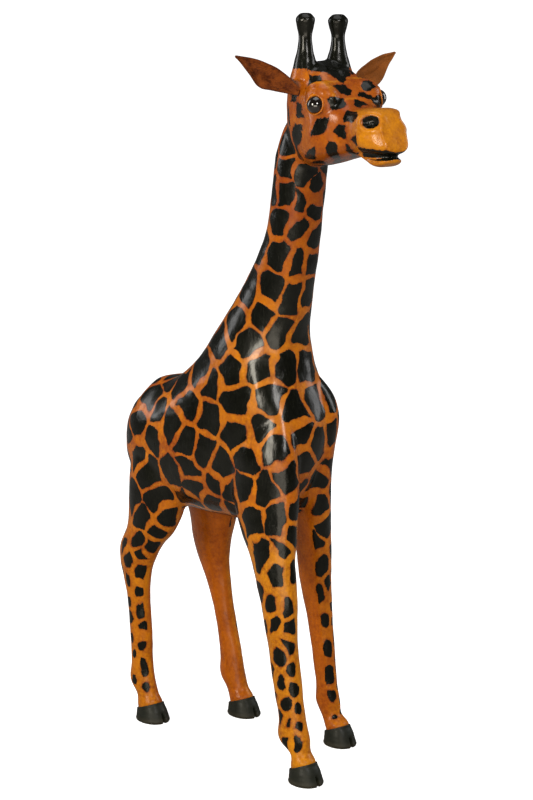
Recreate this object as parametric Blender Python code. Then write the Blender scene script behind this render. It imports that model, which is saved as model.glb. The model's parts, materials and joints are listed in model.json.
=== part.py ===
"""A floor-standing giraffe statue: shaped cores on a bent steel armature, covered in glued leather.

Frame: +Z up, metres. The giraffe faces -Y, its right side is -X, and the origin is on the floor, under the
middle of the overall box. Every limb is a loft of superellipse rings. A ring is given by its two outline
points in the side view and by its half-width, so each table below reads as a side drawing. The drawing's
own origin is midway between the fore and the hind hooves, and CENTRE_Y moves the finished pieces over.
"""

import math

import bmesh
import bpy
from mathutils import Matrix, Vector

LEATHER = 0.0015  # thickness of the glued hide
GAP = 0.0003  # clearance between neighbouring pieces
CORE = LEATHER + GAP  # how far a core's surface lies under the outer surface
TORSO_WALL = 0.008  # the torso is a hollow shell of pressed paper
ROD_RADIUS = 0.0035  # armature rod in each leg
SPINE_RADIUS = 0.0045  # armature rod from the hips to the head
EYE_RADIUS = 0.0135
EYE_X, EYE_Y, EYE_Z = 0.049, -0.218, 1.094
LID_RADIUS = 0.0142  # ring of rolled leather round the eye
LID_LOW, LID_HIGH = 0.0018, 0.0034  # its thickness under the eye and at the brow
EAR_THICKNESS = 0.0018
TOE_REACH = 0.016  # how far the toe stands in front of the top of the hoof
CLEFT_WIDTH = 0.005
CLEFT_DEPTH = 0.020
ROD_FOOT = 0.010  # height of the lower end of each leg's rod
CENTRE_Y = 0.018  # from the drawing's origin to the middle of the overall length

# Ring sides and superellipse exponent of each form: an exponent of 2 is an ellipse, more is boxier
TRUNK_FORM = (20, 2.3)
HEAD_FORM = (16, 2.7)
JAW_FORM = (12, 2.3)
LEG_FORM = (12, 2.0)
HORN_FORM = (12, 2.0)
TAIL_FORM = (8, 2.0)

# Trunk, from the rump to the top of the neck:
# (dorsal y, dorsal z, ventral y, ventral z, half-width)
TRUNK = [
    (0.288, 0.508, 0.286, 0.466, 0.026),
    (0.277, 0.543, 0.272, 0.431, 0.054),
    (0.256, 0.574, 0.246, 0.405, 0.075),
    (0.234, 0.598, 0.216, 0.393, 0.085),
    (0.190, 0.605, 0.168, 0.387, 0.090),
    (0.150, 0.626, 0.105, 0.385, 0.093),
    (0.117, 0.652, 0.040, 0.386, 0.093),
    (0.094, 0.678, -0.030, 0.391, 0.091),
    (0.076, 0.703, -0.079, 0.417, 0.088),
    (0.057, 0.727, -0.113, 0.478, 0.083),
    (0.039, 0.752, -0.128, 0.556, 0.073),
    (0.020, 0.779, -0.106, 0.627, 0.060),
    (-0.001, 0.810, -0.095, 0.690, 0.051),
    (-0.022, 0.844, -0.102, 0.754, 0.046),
    (-0.040, 0.881, -0.114, 0.818, 0.044),
    (-0.051, 0.921, -0.124, 0.880, 0.0425),
    (-0.057, 0.964, -0.133, 0.940, 0.0415),
    (-0.064, 1.010, -0.141, 0.995, 0.041),
    (-0.082, 1.060, -0.150, 1.045, 0.037),
    (-0.106, 1.095, -0.150, 1.080, 0.024),
]
NECK_ROW = 11  # the row where the torso's hide ends and the neck's starts

# Head, from the nape to the nose, and the lower jaw, from the chin back to under the cheek
HEAD = [
    (-0.088, 1.112, -0.091, 1.050, 0.028),
    (-0.101, 1.138, -0.104, 1.010, 0.045),
    (-0.124, 1.149, -0.126, 0.992, 0.055),
    (-0.155, 1.150, -0.154, 0.986, 0.060),
    (-0.188, 1.141, -0.184, 0.989, 0.0625),
    (-0.216, 1.124, -0.212, 0.996, 0.060),
    (-0.238, 1.105, -0.237, 1.003, 0.051),
    (-0.258, 1.090, -0.259, 1.012, 0.043),
    (-0.282, 1.088, -0.284, 1.019, 0.040),
    (-0.308, 1.090, -0.312, 1.022, 0.040),
    (-0.326, 1.086, -0.336, 1.021, 0.037),
    (-0.335, 1.078, -0.349, 1.028, 0.029),
]
JAW = [
    (-0.338, 1.013, -0.336, 1.005, 0.015),
    (-0.326, 1.013, -0.320, 1.000, 0.024),
    (-0.306, 1.014, -0.298, 0.998, 0.029),
    (-0.282, 1.028, -0.268, 0.998, 0.031),
    (-0.245, 1.035, -0.230, 0.999, 0.026),
]

# Legs, from inside the trunk down to the top of the hoof:
# (front y, front z, back y, back z, half-width, distance from the midline)
FORE_RIGHT = [
    (-0.096, 0.620, -0.040, 0.620, 0.018, 0.040),
    (-0.118, 0.575, -0.022, 0.575, 0.028, 0.042),
    (-0.135, 0.525, -0.004, 0.525, 0.038, 0.050),
    (-0.144, 0.465, -0.004, 0.465, 0.039, 0.054),
    (-0.148, 0.400, -0.030, 0.400, 0.034, 0.062),
    (-0.152, 0.354, -0.062, 0.354, 0.029, 0.069),
    (-0.163, 0.290, -0.092, 0.290, 0.026, 0.075),
    (-0.168, 0.225, -0.112, 0.225, 0.0225, 0.078),
    (-0.181, 0.160, -0.127, 0.160, 0.021, 0.080),
    (-0.193, 0.100, -0.143, 0.100, 0.0198, 0.082),
    (-0.203, 0.070, -0.144, 0.066, 0.0205, 0.083),
    (-0.206, 0.050, -0.173, 0.045, 0.0180, 0.084),
    (-0.216, 0.034, -0.175, 0.022, 0.0200, 0.084),
]
FORE_LEFT = [
    (-0.090, 0.640, -0.034, 0.640, 0.020, 0.042),
    (-0.112, 0.602, -0.028, 0.602, 0.034, 0.052),
    (-0.120, 0.565, -0.020, 0.565, 0.038, 0.056),
    (-0.118, 0.525, -0.006, 0.525, 0.036, 0.053),
    (-0.112, 0.465, -0.012, 0.465, 0.032, 0.050),
    (-0.104, 0.400, -0.024, 0.400, 0.030, 0.057),
    (-0.097, 0.340, -0.030, 0.340, 0.0265, 0.066),
    (-0.090, 0.278, -0.030, 0.278, 0.0235, 0.075),
    (-0.091, 0.210, -0.044, 0.210, 0.0195, 0.079),
    (-0.097, 0.142, -0.055, 0.142, 0.0178, 0.081),
    (-0.100, 0.100, -0.062, 0.100, 0.0168, 0.082),
    (-0.104, 0.072, -0.061, 0.068, 0.0185, 0.083),
    (-0.107, 0.050, -0.074, 0.046, 0.0170, 0.084),
    (-0.125, 0.034, -0.085, 0.022, 0.0190, 0.084),
]
HIND_RIGHT = [
    (0.172, 0.555, 0.236, 0.555, 0.020, 0.036),
    (0.142, 0.505, 0.254, 0.505, 0.036, 0.042),
    (0.130, 0.450, 0.257, 0.450, 0.044, 0.048),
    (0.136, 0.400, 0.258, 0.395, 0.041, 0.053),
    (0.152, 0.350, 0.259, 0.345, 0.033, 0.060),
    (0.184, 0.310, 0.276, 0.300, 0.0265, 0.065),
    (0.205, 0.270, 0.269, 0.262, 0.0215, 0.067),
    (0.211, 0.220, 0.257, 0.215, 0.0185, 0.068),
    (0.206, 0.160, 0.250, 0.158, 0.0178, 0.068),
    (0.204, 0.100, 0.247, 0.100, 0.0172, 0.068),
    (0.200, 0.070, 0.250, 0.066, 0.0190, 0.068),
    (0.192, 0.048, 0.232, 0.042, 0.0175, 0.068),
    (0.183, 0.032, 0.228, 0.020, 0.0200, 0.068),
]
HIND_LEFT = [
    (0.172, 0.555, 0.236, 0.555, 0.020, 0.036),
    (0.142, 0.505, 0.252, 0.505, 0.036, 0.042),
    (0.124, 0.450, 0.250, 0.450, 0.044, 0.048),
    (0.126, 0.400, 0.238, 0.395, 0.041, 0.053),
    (0.134, 0.350, 0.230, 0.345, 0.033, 0.060),
    (0.148, 0.310, 0.231, 0.300, 0.0265, 0.065),
    (0.155, 0.270, 0.217, 0.262, 0.0215, 0.067),
    (0.149, 0.220, 0.195, 0.215, 0.0178, 0.068),
    (0.138, 0.160, 0.176, 0.158, 0.0165, 0.068),
    (0.121, 0.100, 0.167, 0.100, 0.0165, 0.068),
    (0.115, 0.070, 0.166, 0.066, 0.0182, 0.068),
    (0.107, 0.048, 0.149, 0.042, 0.0170, 0.068),
    (0.096, 0.032, 0.140, 0.020, 0.0195, 0.068),
]
LEGS = {
    "right_fore_leg": (-1, FORE_RIGHT),
    "left_fore_leg": (1, FORE_LEFT),
    "right_hind_leg": (-1, HIND_RIGHT),
    "left_hind_leg": (1, HIND_LEFT),
}

# Horn, from its knob down to its root in the skull; tail, from inside the rump to the tuft; the tuft
HORN = [
    (-0.161, 1.226, -0.145, 1.226, 0.0080, 0.031),
    (-0.169, 1.218, -0.137, 1.218, 0.0152, 0.031),
    (-0.168, 1.208, -0.138, 1.208, 0.0145, 0.031),
    (-0.164, 1.194, -0.142, 1.194, 0.0112, 0.031),
    (-0.167, 1.166, -0.140, 1.166, 0.0132, 0.031),
    (-0.176, 1.144, -0.132, 1.144, 0.0185, 0.031),
    (-0.182, 1.115, -0.128, 1.115, 0.0215, 0.031),
]
TAIL = [
    (0.254, 0.526, 0.274, 0.548, 0.0095),
    (0.275, 0.521, 0.295, 0.535, 0.0090),
    (0.291, 0.500, 0.309, 0.504, 0.0075),
    (0.297, 0.460, 0.310, 0.460, 0.0060),
    (0.297, 0.420, 0.308, 0.420, 0.0052),
]
TUFT = [
    (0.2955, 0.4196, 0.3095, 0.4196, 0.0065),
    (0.293, 0.400, 0.312, 0.400, 0.0095),
    (0.293, 0.372, 0.312, 0.372, 0.0090),
    (0.299, 0.338, 0.306, 0.338, 0.0030),
]

# Left ear, in its own plane: (distance from the root, upper edge, lower edge, depth of the hollow)
EAR = [
    (-0.008, 0.007, -0.011, 0.001),
    (0.010, 0.012, -0.016, 0.004),
    (0.028, 0.018, -0.021, 0.008),
    (0.048, 0.018, -0.023, 0.008),
    (0.070, 0.013, -0.015, 0.005),
    (0.090, 0.007, -0.007, 0.002),
    (0.106, 0.002, -0.001, 0.000),
]
EAR_ACROSS = 4  # quads across the ear
EAR_ROOT = (0.055, -0.160, 1.110)
EAR_ALONG = {"right_ear": (0.082, 0.040, 0.050), "left_ear": (0.0925, 0.012, 0.050)}
EAR_UP = (-0.30, 0.10, 0.90)
HEAD_TURN = math.radians(-9)  # the head looks a little to the right, about an upright axis in the neck
HEAD_AXIS_Y = -0.105

# Spine rod, from the hips to the head: (y, z)
SPINE = [
    (0.281, 0.490),
    (0.230, 0.505),
    (0.125, 0.530),
    (0.000, 0.560),
    (-0.038, 0.620),
    (-0.050, 0.720),
    (-0.074, 0.830),
    (-0.093, 0.940),
    (-0.107, 1.030),
    (-0.122, 1.075),
]


def moved_in(rows, distance):
    """The rows, with the first one moved towards the second."""
    share = distance * math.sqrt(2) / math.dist(rows[0][:4], rows[1][:4])
    first = tuple(a + (b - a) * share for a, b in zip(rows[0], rows[1]))
    return [first] + list(rows[1:])


def moved_in_at_both_ends(rows, distance):
    inner = moved_in(rows, distance)
    return moved_in(inner[::-1], distance)[::-1]


def rounded(value, square):
    """One coordinate of a superellipse, from the cosine or the sine of the angle."""
    return math.copysign(abs(value) ** (2 / square), value) if abs(value) > 1e-9 else 0.0


def ring(row, form, inset, side=0, half=False):
    """Points of one ring, pulled in by inset. Angle 0 is the first outline point, 90 degrees is +X.

    side places a limb: -1 is right, 1 is left. half keeps the half of the ring on that side of the
    midline, and leaves half a GAP to the midline for the seam.
    """
    count, square = form
    first, last = Vector((0, row[0], row[1])), Vector((0, row[2], row[3]))
    centre, axis = (first + last) / 2, (first - last) / 2
    long_radius = axis.length - inset
    wide_radius = row[4] - inset
    offset = Vector((side * row[5], 0, 0)) if len(row) > 5 else Vector()
    points = []
    start = math.pi if half and side < 0 else 0
    for k in range(count // 2 + 1 if half else count):
        angle = start + 2 * math.pi * k / count
        along = rounded(math.cos(angle), square) * long_radius
        across = rounded(math.sin(angle), square) * wide_radius
        points.append(centre + axis.normalized() * along + Vector((across, 0, 0)) + offset)
    if half:
        points[0].x = side * GAP / 2
        points[-1].x = side * GAP / 2
    return points


def add_rings(bm, rings):
    return [[bm.verts.new(point) for point in points] for points in rings]


def join(bm, loops, closed=True):
    """Triangles between each two neighbouring loops, which wrap round if they are closed.

    The diagonals all run the same way, so nested surfaces made from one table stay apart.
    """
    for low, high in zip(loops, loops[1:]):
        count = len(low)
        for k in range(count if closed else count - 1):
            n = (k + 1) % count
            bm.faces.new((low[k], low[n], high[n]))
            bm.faces.new((low[k], high[n], high[k]))


def make_object(bm, name, look):
    """An object from the bmesh. With no look it is a cutter, which stays out of the render."""
    bmesh.ops.recalc_face_normals(bm, faces=bm.faces)
    mesh = bpy.data.meshes.new(name)
    bm.to_mesh(mesh)
    bm.free()
    mesh.shade_smooth()
    mesh.set_sharp_from_angle(angle=math.radians(40))
    obj = bpy.data.objects.new(name, mesh)
    bpy.context.scene.collection.objects.link(obj)
    if look:
        mesh.materials.append(look)
    else:
        obj.hide_render = True
        obj.display_type = "WIRE"
    return obj


def solid(name, rows, form, inset, look=None, side=0):
    """A loft with flat ends."""
    bm = bmesh.new()
    loops = add_rings(bm, [ring(row, form, inset, side) for row in rows])
    join(bm, loops)
    bm.faces.new(loops[0])
    bm.faces.new(loops[-1])
    return make_object(bm, name, look)


def hide(name, rows, form, look, side=0, half=False, cover=False):
    """A sheet of leather that follows a loft. cover closes it over the loft's first ring, like a bag."""
    bm = bmesh.new()
    inner_rows = moved_in(rows, LEATHER) if cover else rows
    outer = add_rings(bm, [ring(row, form, 0, side, half) for row in rows])
    inner = add_rings(bm, [ring(row, form, LEATHER, side, half) for row in inner_rows])
    join(bm, outer, not half)
    join(bm, inner, not half)
    join(bm, [outer[-1], inner[-1]], not half)
    if cover:
        bm.faces.new(outer[0])
        bm.faces.new(inner[0])
    else:
        join(bm, [outer[0], inner[0]], not half)
    if half:
        for k in (0, -1):
            join(bm, [[loop[k] for loop in outer], [loop[k] for loop in inner]], False)
    if half and cover:
        join(bm, [[outer[0][0], outer[0][-1]], [inner[0][0], inner[0][-1]]], False)
    return make_object(bm, name, look)


def tube(name, points, radius, look=None, count=8):
    """A round bar through the points."""
    bm = bmesh.new()
    loops = []
    for i, point in enumerate(points):
        ahead = (points[min(i + 1, len(points) - 1)] - points[max(i - 1, 0)]).normalized()
        up = ahead.cross(Vector((1, 0, 0))).normalized()
        across = up.cross(ahead)
        turns = [2 * math.pi * (k + 0.5) / count for k in range(count)]
        circle = [point + radius * (across * math.cos(a) + up * math.sin(a)) for a in turns]
        loops.append([bm.verts.new(p) for p in circle])
    join(bm, loops)
    bm.faces.new(loops[0])
    bm.faces.new(loops[-1])
    return make_object(bm, name, look)


def bore(name, points, radius):
    """The cutter for a rod's hole: wider and longer than the rod by the gap."""
    start = points[0] + (points[0] - points[1]).normalized() * GAP
    end = points[-1] + (points[-1] - points[-2]).normalized() * GAP
    return tube(name, [start] + points[1:-1] + [end], radius + GAP)


def cut(obj, *cutters):
    for cutter in cutters:
        modifier = obj.modifiers.new("cut_" + cutter.name, "BOOLEAN")
        modifier.operation = "DIFFERENCE"
        modifier.solver = "EXACT"
        modifier.object = cutter


def material(name, colour, roughness, metallic=0.0):
    made = bpy.data.materials.new(name)
    made.use_nodes = True
    shader = made.node_tree.nodes["Principled BSDF"]
    shader.inputs["Base Color"].default_value = (*colour, 1)
    shader.inputs["Roughness"].default_value = roughness
    shader.inputs["Metallic"].default_value = metallic
    return made


def make_materials():
    return {
        "painted_hide": material("painted_hide", (0.55, 0.19, 0.02), 0.35),
        "black_hide": material("black_hide", (0.012, 0.013, 0.010), 0.3),
        "ear_hide": material("ear_hide", (0.28, 0.10, 0.03), 0.75),
        "paper_core": material("paper_core", (0.45, 0.38, 0.28), 0.9),
        "wood_core": material("wood_core", (0.40, 0.26, 0.13), 0.8),
        "hoof_paint": material("hoof_paint", (0.020, 0.024, 0.016), 0.45),
        "eye_glass": material("eye_glass", (0.004, 0.003, 0.003), 0.05),
        "armature_steel": material("armature_steel", (0.35, 0.34, 0.33), 0.5, 1.0),
    }


def build_trunk(looks):
    """Torso and neck: paper cores, a hide in two halves on the torso and one piece on the neck.

    The torso's hollow opens towards the neck, whose solid core closes it.
    """
    rows = TRUNK
    torso = rows[: NECK_ROW + 1]
    neck = moved_in(rows[NECK_ROW:], GAP)
    paper, leather = looks["paper_core"], looks["painted_hide"]
    hollow_rows = moved_in(rows[: NECK_ROW + 2], CORE + TORSO_WALL)
    torso_form = {
        "core": solid("torso_core", moved_in(torso, CORE), TRUNK_FORM, CORE, paper),
        "right": hide("torso_skin_right", torso, TRUNK_FORM, leather, side=-1, half=True, cover=True),
        "left": hide("torso_skin_left", torso, TRUNK_FORM, leather, side=1, half=True, cover=True),
        "outer": solid("trunk_outer", rows, TRUNK_FORM, 0),
        "core_cut": solid("trunk_core_cut", rows, TRUNK_FORM, LEATHER),
    }
    cut(torso_form["core"], solid("torso_hollow", hollow_rows, TRUNK_FORM, CORE + TORSO_WALL))
    neck_form = {
        "core": solid("neck_core", neck, TRUNK_FORM, CORE, paper),
        "skin": hide("neck_skin", neck, TRUNK_FORM, leather),
        "grown": solid("neck_grown", rows[NECK_ROW:], TRUNK_FORM, -GAP),
    }
    return torso_form, neck_form


def build_head(looks):
    """Skull core, and a closed bag of leather over it, which the neck's hole opens."""
    rows = HEAD
    head = {
        "core": solid("head_core", moved_in_at_both_ends(rows, CORE), HEAD_FORM, CORE, looks["paper_core"]),
        "skin": solid("head_skin", rows, HEAD_FORM, 0, looks["painted_hide"]),
        "outer": solid("head_outer", rows, HEAD_FORM, 0),
        "grown": solid("head_grown", rows, HEAD_FORM, -GAP),
        "core_cut": solid("head_core_cut", moved_in_at_both_ends(rows, LEATHER), HEAD_FORM, LEATHER),
    }
    cut(head["skin"], head["core_cut"])
    return head


def build_limb(name, rows, form, side, core_look, skin_look, cover=False):
    """Core, hide and cutter of a limb that grows out of a larger form."""
    core_rows = moved_in(rows, CORE) if cover else rows
    return {
        "core": solid(name + "_core", core_rows, form, CORE, core_look, side),
        "skin": hide(name + "_skin", rows, form, skin_look, side, cover=cover),
        "grown": solid(name + "_grown", rows, form, -GAP, side=side),
    }


def set_limb_on(body, skins, limb):
    """The limb's hide starts at the body's surface, over a hole in the body's hide."""
    for skin in skins:
        cut(skin, limb["grown"])
    cut(limb["skin"], body["outer"])
    cut(limb["core"], body["core_cut"])


def build_hoof(name, top, side, look):
    """A cloven hoof under a leg's last ring, with a flat sole on the floor."""
    front_y, front_z, back_y, back_z, half_width, offset = top
    rows = [
        (front_y, front_z - 1.5 * GAP, back_y, back_z - 1.5 * GAP, half_width, offset),
        (front_y - 0.007, front_z - 0.008, back_y + 0.002, back_z - 0.006, half_width + 0.003, offset),
        (front_y - 0.013, 0.011, back_y + 0.002, 0.007, half_width + 0.0052, offset),
        (front_y - TOE_REACH, 0.0, back_y + 0.003, 0.0, half_width + 0.0058, offset),
    ]
    hoof = solid(name, rows, LEG_FORM, 0, look, side)
    toe = front_y - TOE_REACH
    cut(hoof, cleft_cutter(name + "_cleft", side * offset, toe))
    return hoof


def cleft_cutter(name, x, toe):
    """An upright wedge with its thin edge CLEFT_DEPTH behind the toe."""
    bm = bmesh.new()
    wide = CLEFT_WIDTH / 2 * (CLEFT_DEPTH + 0.010) / CLEFT_DEPTH
    plan = [(x - wide, toe - 0.010), (x + wide, toe - 0.010), (x, toe + CLEFT_DEPTH)]
    low, high = add_rings(bm, [[Vector((px, py, z)) for px, py in plan] for z in (-0.010, 0.060)])
    join(bm, [low, high])
    bm.faces.new(low)
    bm.faces.new(high)
    return make_object(bm, name, None)


def build_legs(looks, torso):
    """Four legs on their rods, each with its hoof."""
    skins = {-1: torso["right"], 1: torso["left"]}
    for name, (side, rows) in LEGS.items():
        limb = build_limb(name, rows, LEG_FORM, side, looks["wood_core"], looks["painted_hide"])
        set_limb_on(torso, [skins[side]], limb)
        hoof = build_hoof(name.replace("leg", "hoof"), rows[-1], side, looks["hoof_paint"])
        points = [centre_of(row, side) for row in rows[1:-1]]
        points.append(Vector((side * rows[-1][5], (rows[-1][0] + rows[-1][2]) / 2, ROD_FOOT)))
        tube(name + "_rod", points, ROD_RADIUS, looks["armature_steel"])
        hole = bore(name + "_bore", points, ROD_RADIUS)
        for piece in (limb["core"], torso["core"], hoof):
            cut(piece, hole)


def centre_of(row, side):
    return Vector((side * row[5], (row[0] + row[2]) / 2, (row[1] + row[3]) / 2))


def build_spine(looks, cores):
    points = [Vector((0, y, z)) for y, z in SPINE]
    tube("spine_rod", points, SPINE_RADIUS, looks["armature_steel"])
    hole = bore("spine_bore", points, SPINE_RADIUS)
    for core in cores:
        cut(core, hole)


def build_jaw(looks, head):
    jaw = build_limb("jaw", JAW, JAW_FORM, 0, looks["wood_core"], looks["painted_hide"], cover=True)
    set_limb_on(head, [head["skin"]], jaw)


def build_horns(looks, head):
    for name, side in (("right_horn", -1), ("left_horn", 1)):
        horn = build_limb(name, HORN, HORN_FORM, side, looks["wood_core"], looks["black_hide"], cover=True)
        set_limb_on(head, [head["skin"]], horn)


def build_tail(looks, torso):
    tail = build_limb("tail", TAIL, TAIL_FORM, 0, looks["wood_core"], looks["painted_hide"])
    set_limb_on(torso, [torso["right"], torso["left"]], tail)
    solid("tail_tuft", TUFT, TAIL_FORM, 0, looks["black_hide"])


def ball(name, centre, radius, look=None):
    bm = bmesh.new()
    bmesh.ops.create_uvsphere(bm, u_segments=14, v_segments=8, radius=radius)
    bmesh.ops.translate(bm, verts=bm.verts, vec=centre)
    return make_object(bm, name, look)


def lid_ring(name, centre, axis, look):
    """A ring round the eye, thin below and thick at the brow."""
    bm = bmesh.new()
    up = (Vector((0, 0, 1)) - axis * axis.z).normalized()
    across = up.cross(axis)
    loops = []
    for i in range(16):
        turn = 2 * math.pi * i / 16
        outward = up * math.cos(turn) + across * math.sin(turn)
        thick = LID_LOW + (LID_HIGH - LID_LOW) * (0.5 + 0.5 * math.cos(turn)) ** 2
        middle = centre + outward * (LID_RADIUS + thick)
        turns = [2 * math.pi * (k + 0.5) / 6 for k in range(6)]
        circle = [middle + thick * (outward * math.cos(a) + axis * math.sin(a)) for a in turns]
        loops.append([bm.verts.new(p) for p in circle])
    join(bm, loops + [loops[0]])
    return make_object(bm, name, look)


def build_eyes(looks, head):
    """Glass eyes in sockets, each with a rolled leather lid laid on the hide."""
    for name, side in (("right_eye", -1), ("left_eye", 1)):
        centre = Vector((side * EYE_X, EYE_Y, EYE_Z))
        ball(name, centre, EYE_RADIUS, looks["eye_glass"])
        socket = ball(name + "_socket", centre, EYE_RADIUS + GAP)
        cut(head["skin"], socket)
        cut(head["core"], socket)
        axis = Vector((side * 0.80, -0.55, 0.24)).normalized()
        lid = lid_ring(name + "lid", centre + axis * 0.0045, axis, looks["painted_hide"])
        cut(lid, head["grown"], socket)


def build_ears(looks, head):
    """Thin hollowed leaves of leather, glued by their roots to the head's hide."""
    for name, side in (("right_ear", -1), ("left_ear", 1)):
        root = Vector(EAR_ROOT)
        along = Vector(EAR_ALONG[name]).normalized()
        up = Vector(EAR_UP)
        up = (up - along * up.dot(along)).normalized()
        bm = bmesh.new()
        loops = []
        for distance, upper, lower, hollow in EAR:
            points = []
            for k in range(EAR_ACROSS + 1):
                share = k / EAR_ACROSS
                back = hollow * (1 - (2 * share - 1) ** 2)
                point = root + along * distance + up * (upper + (lower - upper) * share)
                points.append(Vector((side * point.x, point.y + back, point.z)))
            loops.append(points)
        join(bm, add_rings(bm, loops), closed=False)
        ear = make_object(bm, name, looks["ear_hide"])
        thicken = ear.modifiers.new("thickness", "SOLIDIFY")
        thicken.thickness = EAR_THICKNESS
        thicken.offset = 0
        cut(ear, head["grown"])


def turn_head(pieces):
    """Hangs the head's pieces and cutters from an empty on the neck's axis, and turns it."""
    pivot = bpy.data.objects.new("head_pivot", None)
    pivot.location = (0, HEAD_AXIS_Y, 0)
    pivot.rotation_euler.z = HEAD_TURN
    bpy.context.scene.collection.objects.link(pivot)
    for piece in pieces:
        piece.parent = pivot
        piece.matrix_parent_inverse = Matrix.Translation((0, -HEAD_AXIS_Y, 0))


def main():
    for obj in list(bpy.data.objects):
        bpy.data.objects.remove(obj)
    looks = make_materials()
    head = build_head(looks)
    build_jaw(looks, head)
    build_horns(looks, head)
    build_eyes(looks, head)
    build_ears(looks, head)
    turn_head(list(bpy.data.objects))
    torso, neck = build_trunk(looks)
    set_limb_on(head, [head["skin"]], neck)
    build_legs(looks, torso)
    build_tail(looks, torso)
    build_spine(looks, [torso["core"], neck["core"], head["core"]])
    for obj in bpy.data.objects:
        if obj.parent is None:
            obj.location.y += CENTRE_Y


main()
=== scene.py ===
"""The looks of a floor-standing giraffe statue covered in dyed, painted and lacquered leather.

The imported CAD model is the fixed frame. The hide is one closed skin over the CAD's own outlines: they are
lofted finely, fused, smoothed where they meet and then sculpted. Its pattern is worked out for each vertex,
as the distance to the edge of the black paint, and the materials draw it from there. All tables are in the
drawing's coordinates, in metres: +Z up, the giraffe faces -Y, its right side is -X. Finished pieces are
moved over by `shift` to the CAD's origin.
"""

import json
import math

import bmesh
import bpy
import numpy as np
from mathutils import Matrix, Vector, noise


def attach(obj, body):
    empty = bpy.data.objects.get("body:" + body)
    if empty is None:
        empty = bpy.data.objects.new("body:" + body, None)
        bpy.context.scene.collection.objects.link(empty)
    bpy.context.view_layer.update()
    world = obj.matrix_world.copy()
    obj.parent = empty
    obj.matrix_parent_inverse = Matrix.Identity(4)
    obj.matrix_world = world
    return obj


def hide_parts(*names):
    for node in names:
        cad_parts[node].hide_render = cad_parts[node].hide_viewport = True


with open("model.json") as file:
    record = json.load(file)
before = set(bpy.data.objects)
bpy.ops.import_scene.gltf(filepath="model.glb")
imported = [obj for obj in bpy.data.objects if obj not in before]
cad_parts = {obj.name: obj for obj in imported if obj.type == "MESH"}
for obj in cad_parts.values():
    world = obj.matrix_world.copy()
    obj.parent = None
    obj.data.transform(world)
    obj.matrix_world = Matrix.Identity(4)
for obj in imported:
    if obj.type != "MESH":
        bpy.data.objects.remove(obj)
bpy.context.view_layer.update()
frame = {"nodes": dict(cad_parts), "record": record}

SOLES = {mount["name"]: mount["pos_m"] for mount in frame["record"]["mounts"]}
DRAWN_SOLE_Y = -0.202  # where the drawing has the middle of the right fore hoof's sole
shift = Vector((0, SOLES["right_fore_sole"][1] - DRAWN_SOLE_Y, 0))


def mm(rows):
    """A table typed in millimetres, in metres."""
    return [tuple(value / 1000 for value in row) for row in rows]


VOXEL = 0.0025  # grid of the fused hide; the head's is refined to half of that
FINE_ABOVE = 0.985  # height from which the hide is refined
HEAD_TURN = math.radians(-9)
NOSTRIL = (0.0262, -0.3190, 1.0690)
HEAD_AXIS_Y = -0.105
EYES = {-1: (-0.0590, -0.2215, 1.0905), 1: (0.0535, -0.2265, 1.0970)}  # middles; -1 is the right one's
EYE_RADIUS = 0.0140
LIPS_MEET = 1.0187  # height
CROWN_FROM = 1.1415  # height from which the sides of the head's top are black
PATCH_TRIES = 26000  # places tried for the patches that aren't listed
BATCH = 8000  # vertices worked on at once
GOLDEN_ANGLE = 2.39996  # from each strip of the tuft to the next
CAMERA = (-2.5145, -2.7059, 1.342)

# Trunk, from the rump to the top of the neck:
# (dorsal y, dorsal z, ventral y, ventral z, half-width)
TRUNK = mm([
    (288, 508, 286, 466, 26), (277, 543, 272, 431, 54), (256, 574, 246, 405, 75),
    (234, 598, 216, 393, 85), (190, 605, 168, 387, 90), (150, 626, 105, 385, 93),
    (117, 652, 40, 386, 93), (94, 678, -30, 391, 91), (76, 703, -79, 417, 88),
    (57, 727, -113, 478, 83), (39, 752, -128, 556, 73), (20, 779, -106, 627, 60),
    (-1, 810, -95, 690, 51), (-22, 844, -102, 754, 46), (-40, 881, -114, 818, 44),
    (-51, 921, -124, 880, 42.5), (-57, 964, -133, 940, 41.5), (-64, 1010, -141, 995, 41),
    (-87, 1060, -150, 1045, 34), (-110, 1093, -150, 1080, 22),
])

# Head, from the nape to the nose, and the lower jaw, from the chin back to under the cheek
HEAD = mm([
    (-94, 1108, -96, 1050, 23), (-106, 1137, -108, 1012, 34), (-124, 1148, -126, 994, 43),
    (-155, 1149, -154, 990, 49.5), (-188, 1140.5, -184, 995, 55), (-214, 1125, -210, 1002, 57.5),
    (-236, 1108, -235, 1008, 52.5), (-258, 1090.5, -259, 1014, 43), (-282, 1087, -284, 1019, 38.5),
    (-300, 1089, -306, 1021, 39.5), (-312, 1089, -325, 1021, 35.5),
    (-323, 1086.5, -342, 1021, 29.5), (-329, 1083, -352.5, 1025, 23.5),
])
HEAD_SQUARE = [2.3, 2.4, 2.5, 2.8, 3.2, 3.4, 3.2, 3.0, 3.1, 3.4, 3.4, 3.1, 2.8]  # how boxy each ring is
JAW = mm([
    (-344, 1015, -341, 1007.5, 12), (-336, 1015.5, -330, 1002.5, 20),
    (-322, 1015.5, -316, 1000.5, 24), (-306, 1016, -300, 1007.5, 24),
    (-286, 1024, -280, 1014, 24.5), (-262, 1034, -256, 1014, 27), (-240, 1040, -234, 1014, 24),
])
# What fills the mouth behind the lips, and the dome over an eye
MOUTH = mm([
    (-338, 1026, -336, 1010, 10), (-326, 1028, -324, 1008, 18.5), (-308, 1030, -306, 1010, 23.5),
    (-286, 1030, -284, 1014, 26),
])
BROW = mm([
    (-242, 1106, -243, 1090, 6, 40), (-237, 1114, -239, 1080, 14, 40.5),
    (-227, 1121.5, -229, 1076, 20.5, 41.5), (-212, 1125.5, -213, 1074, 22.5, 41.5),
    (-197, 1123.5, -198, 1076, 20.5, 40.5), (-186, 1116, -187, 1081, 14, 39),
    (-180, 1106, -180, 1090, 6, 37),
])

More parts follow.
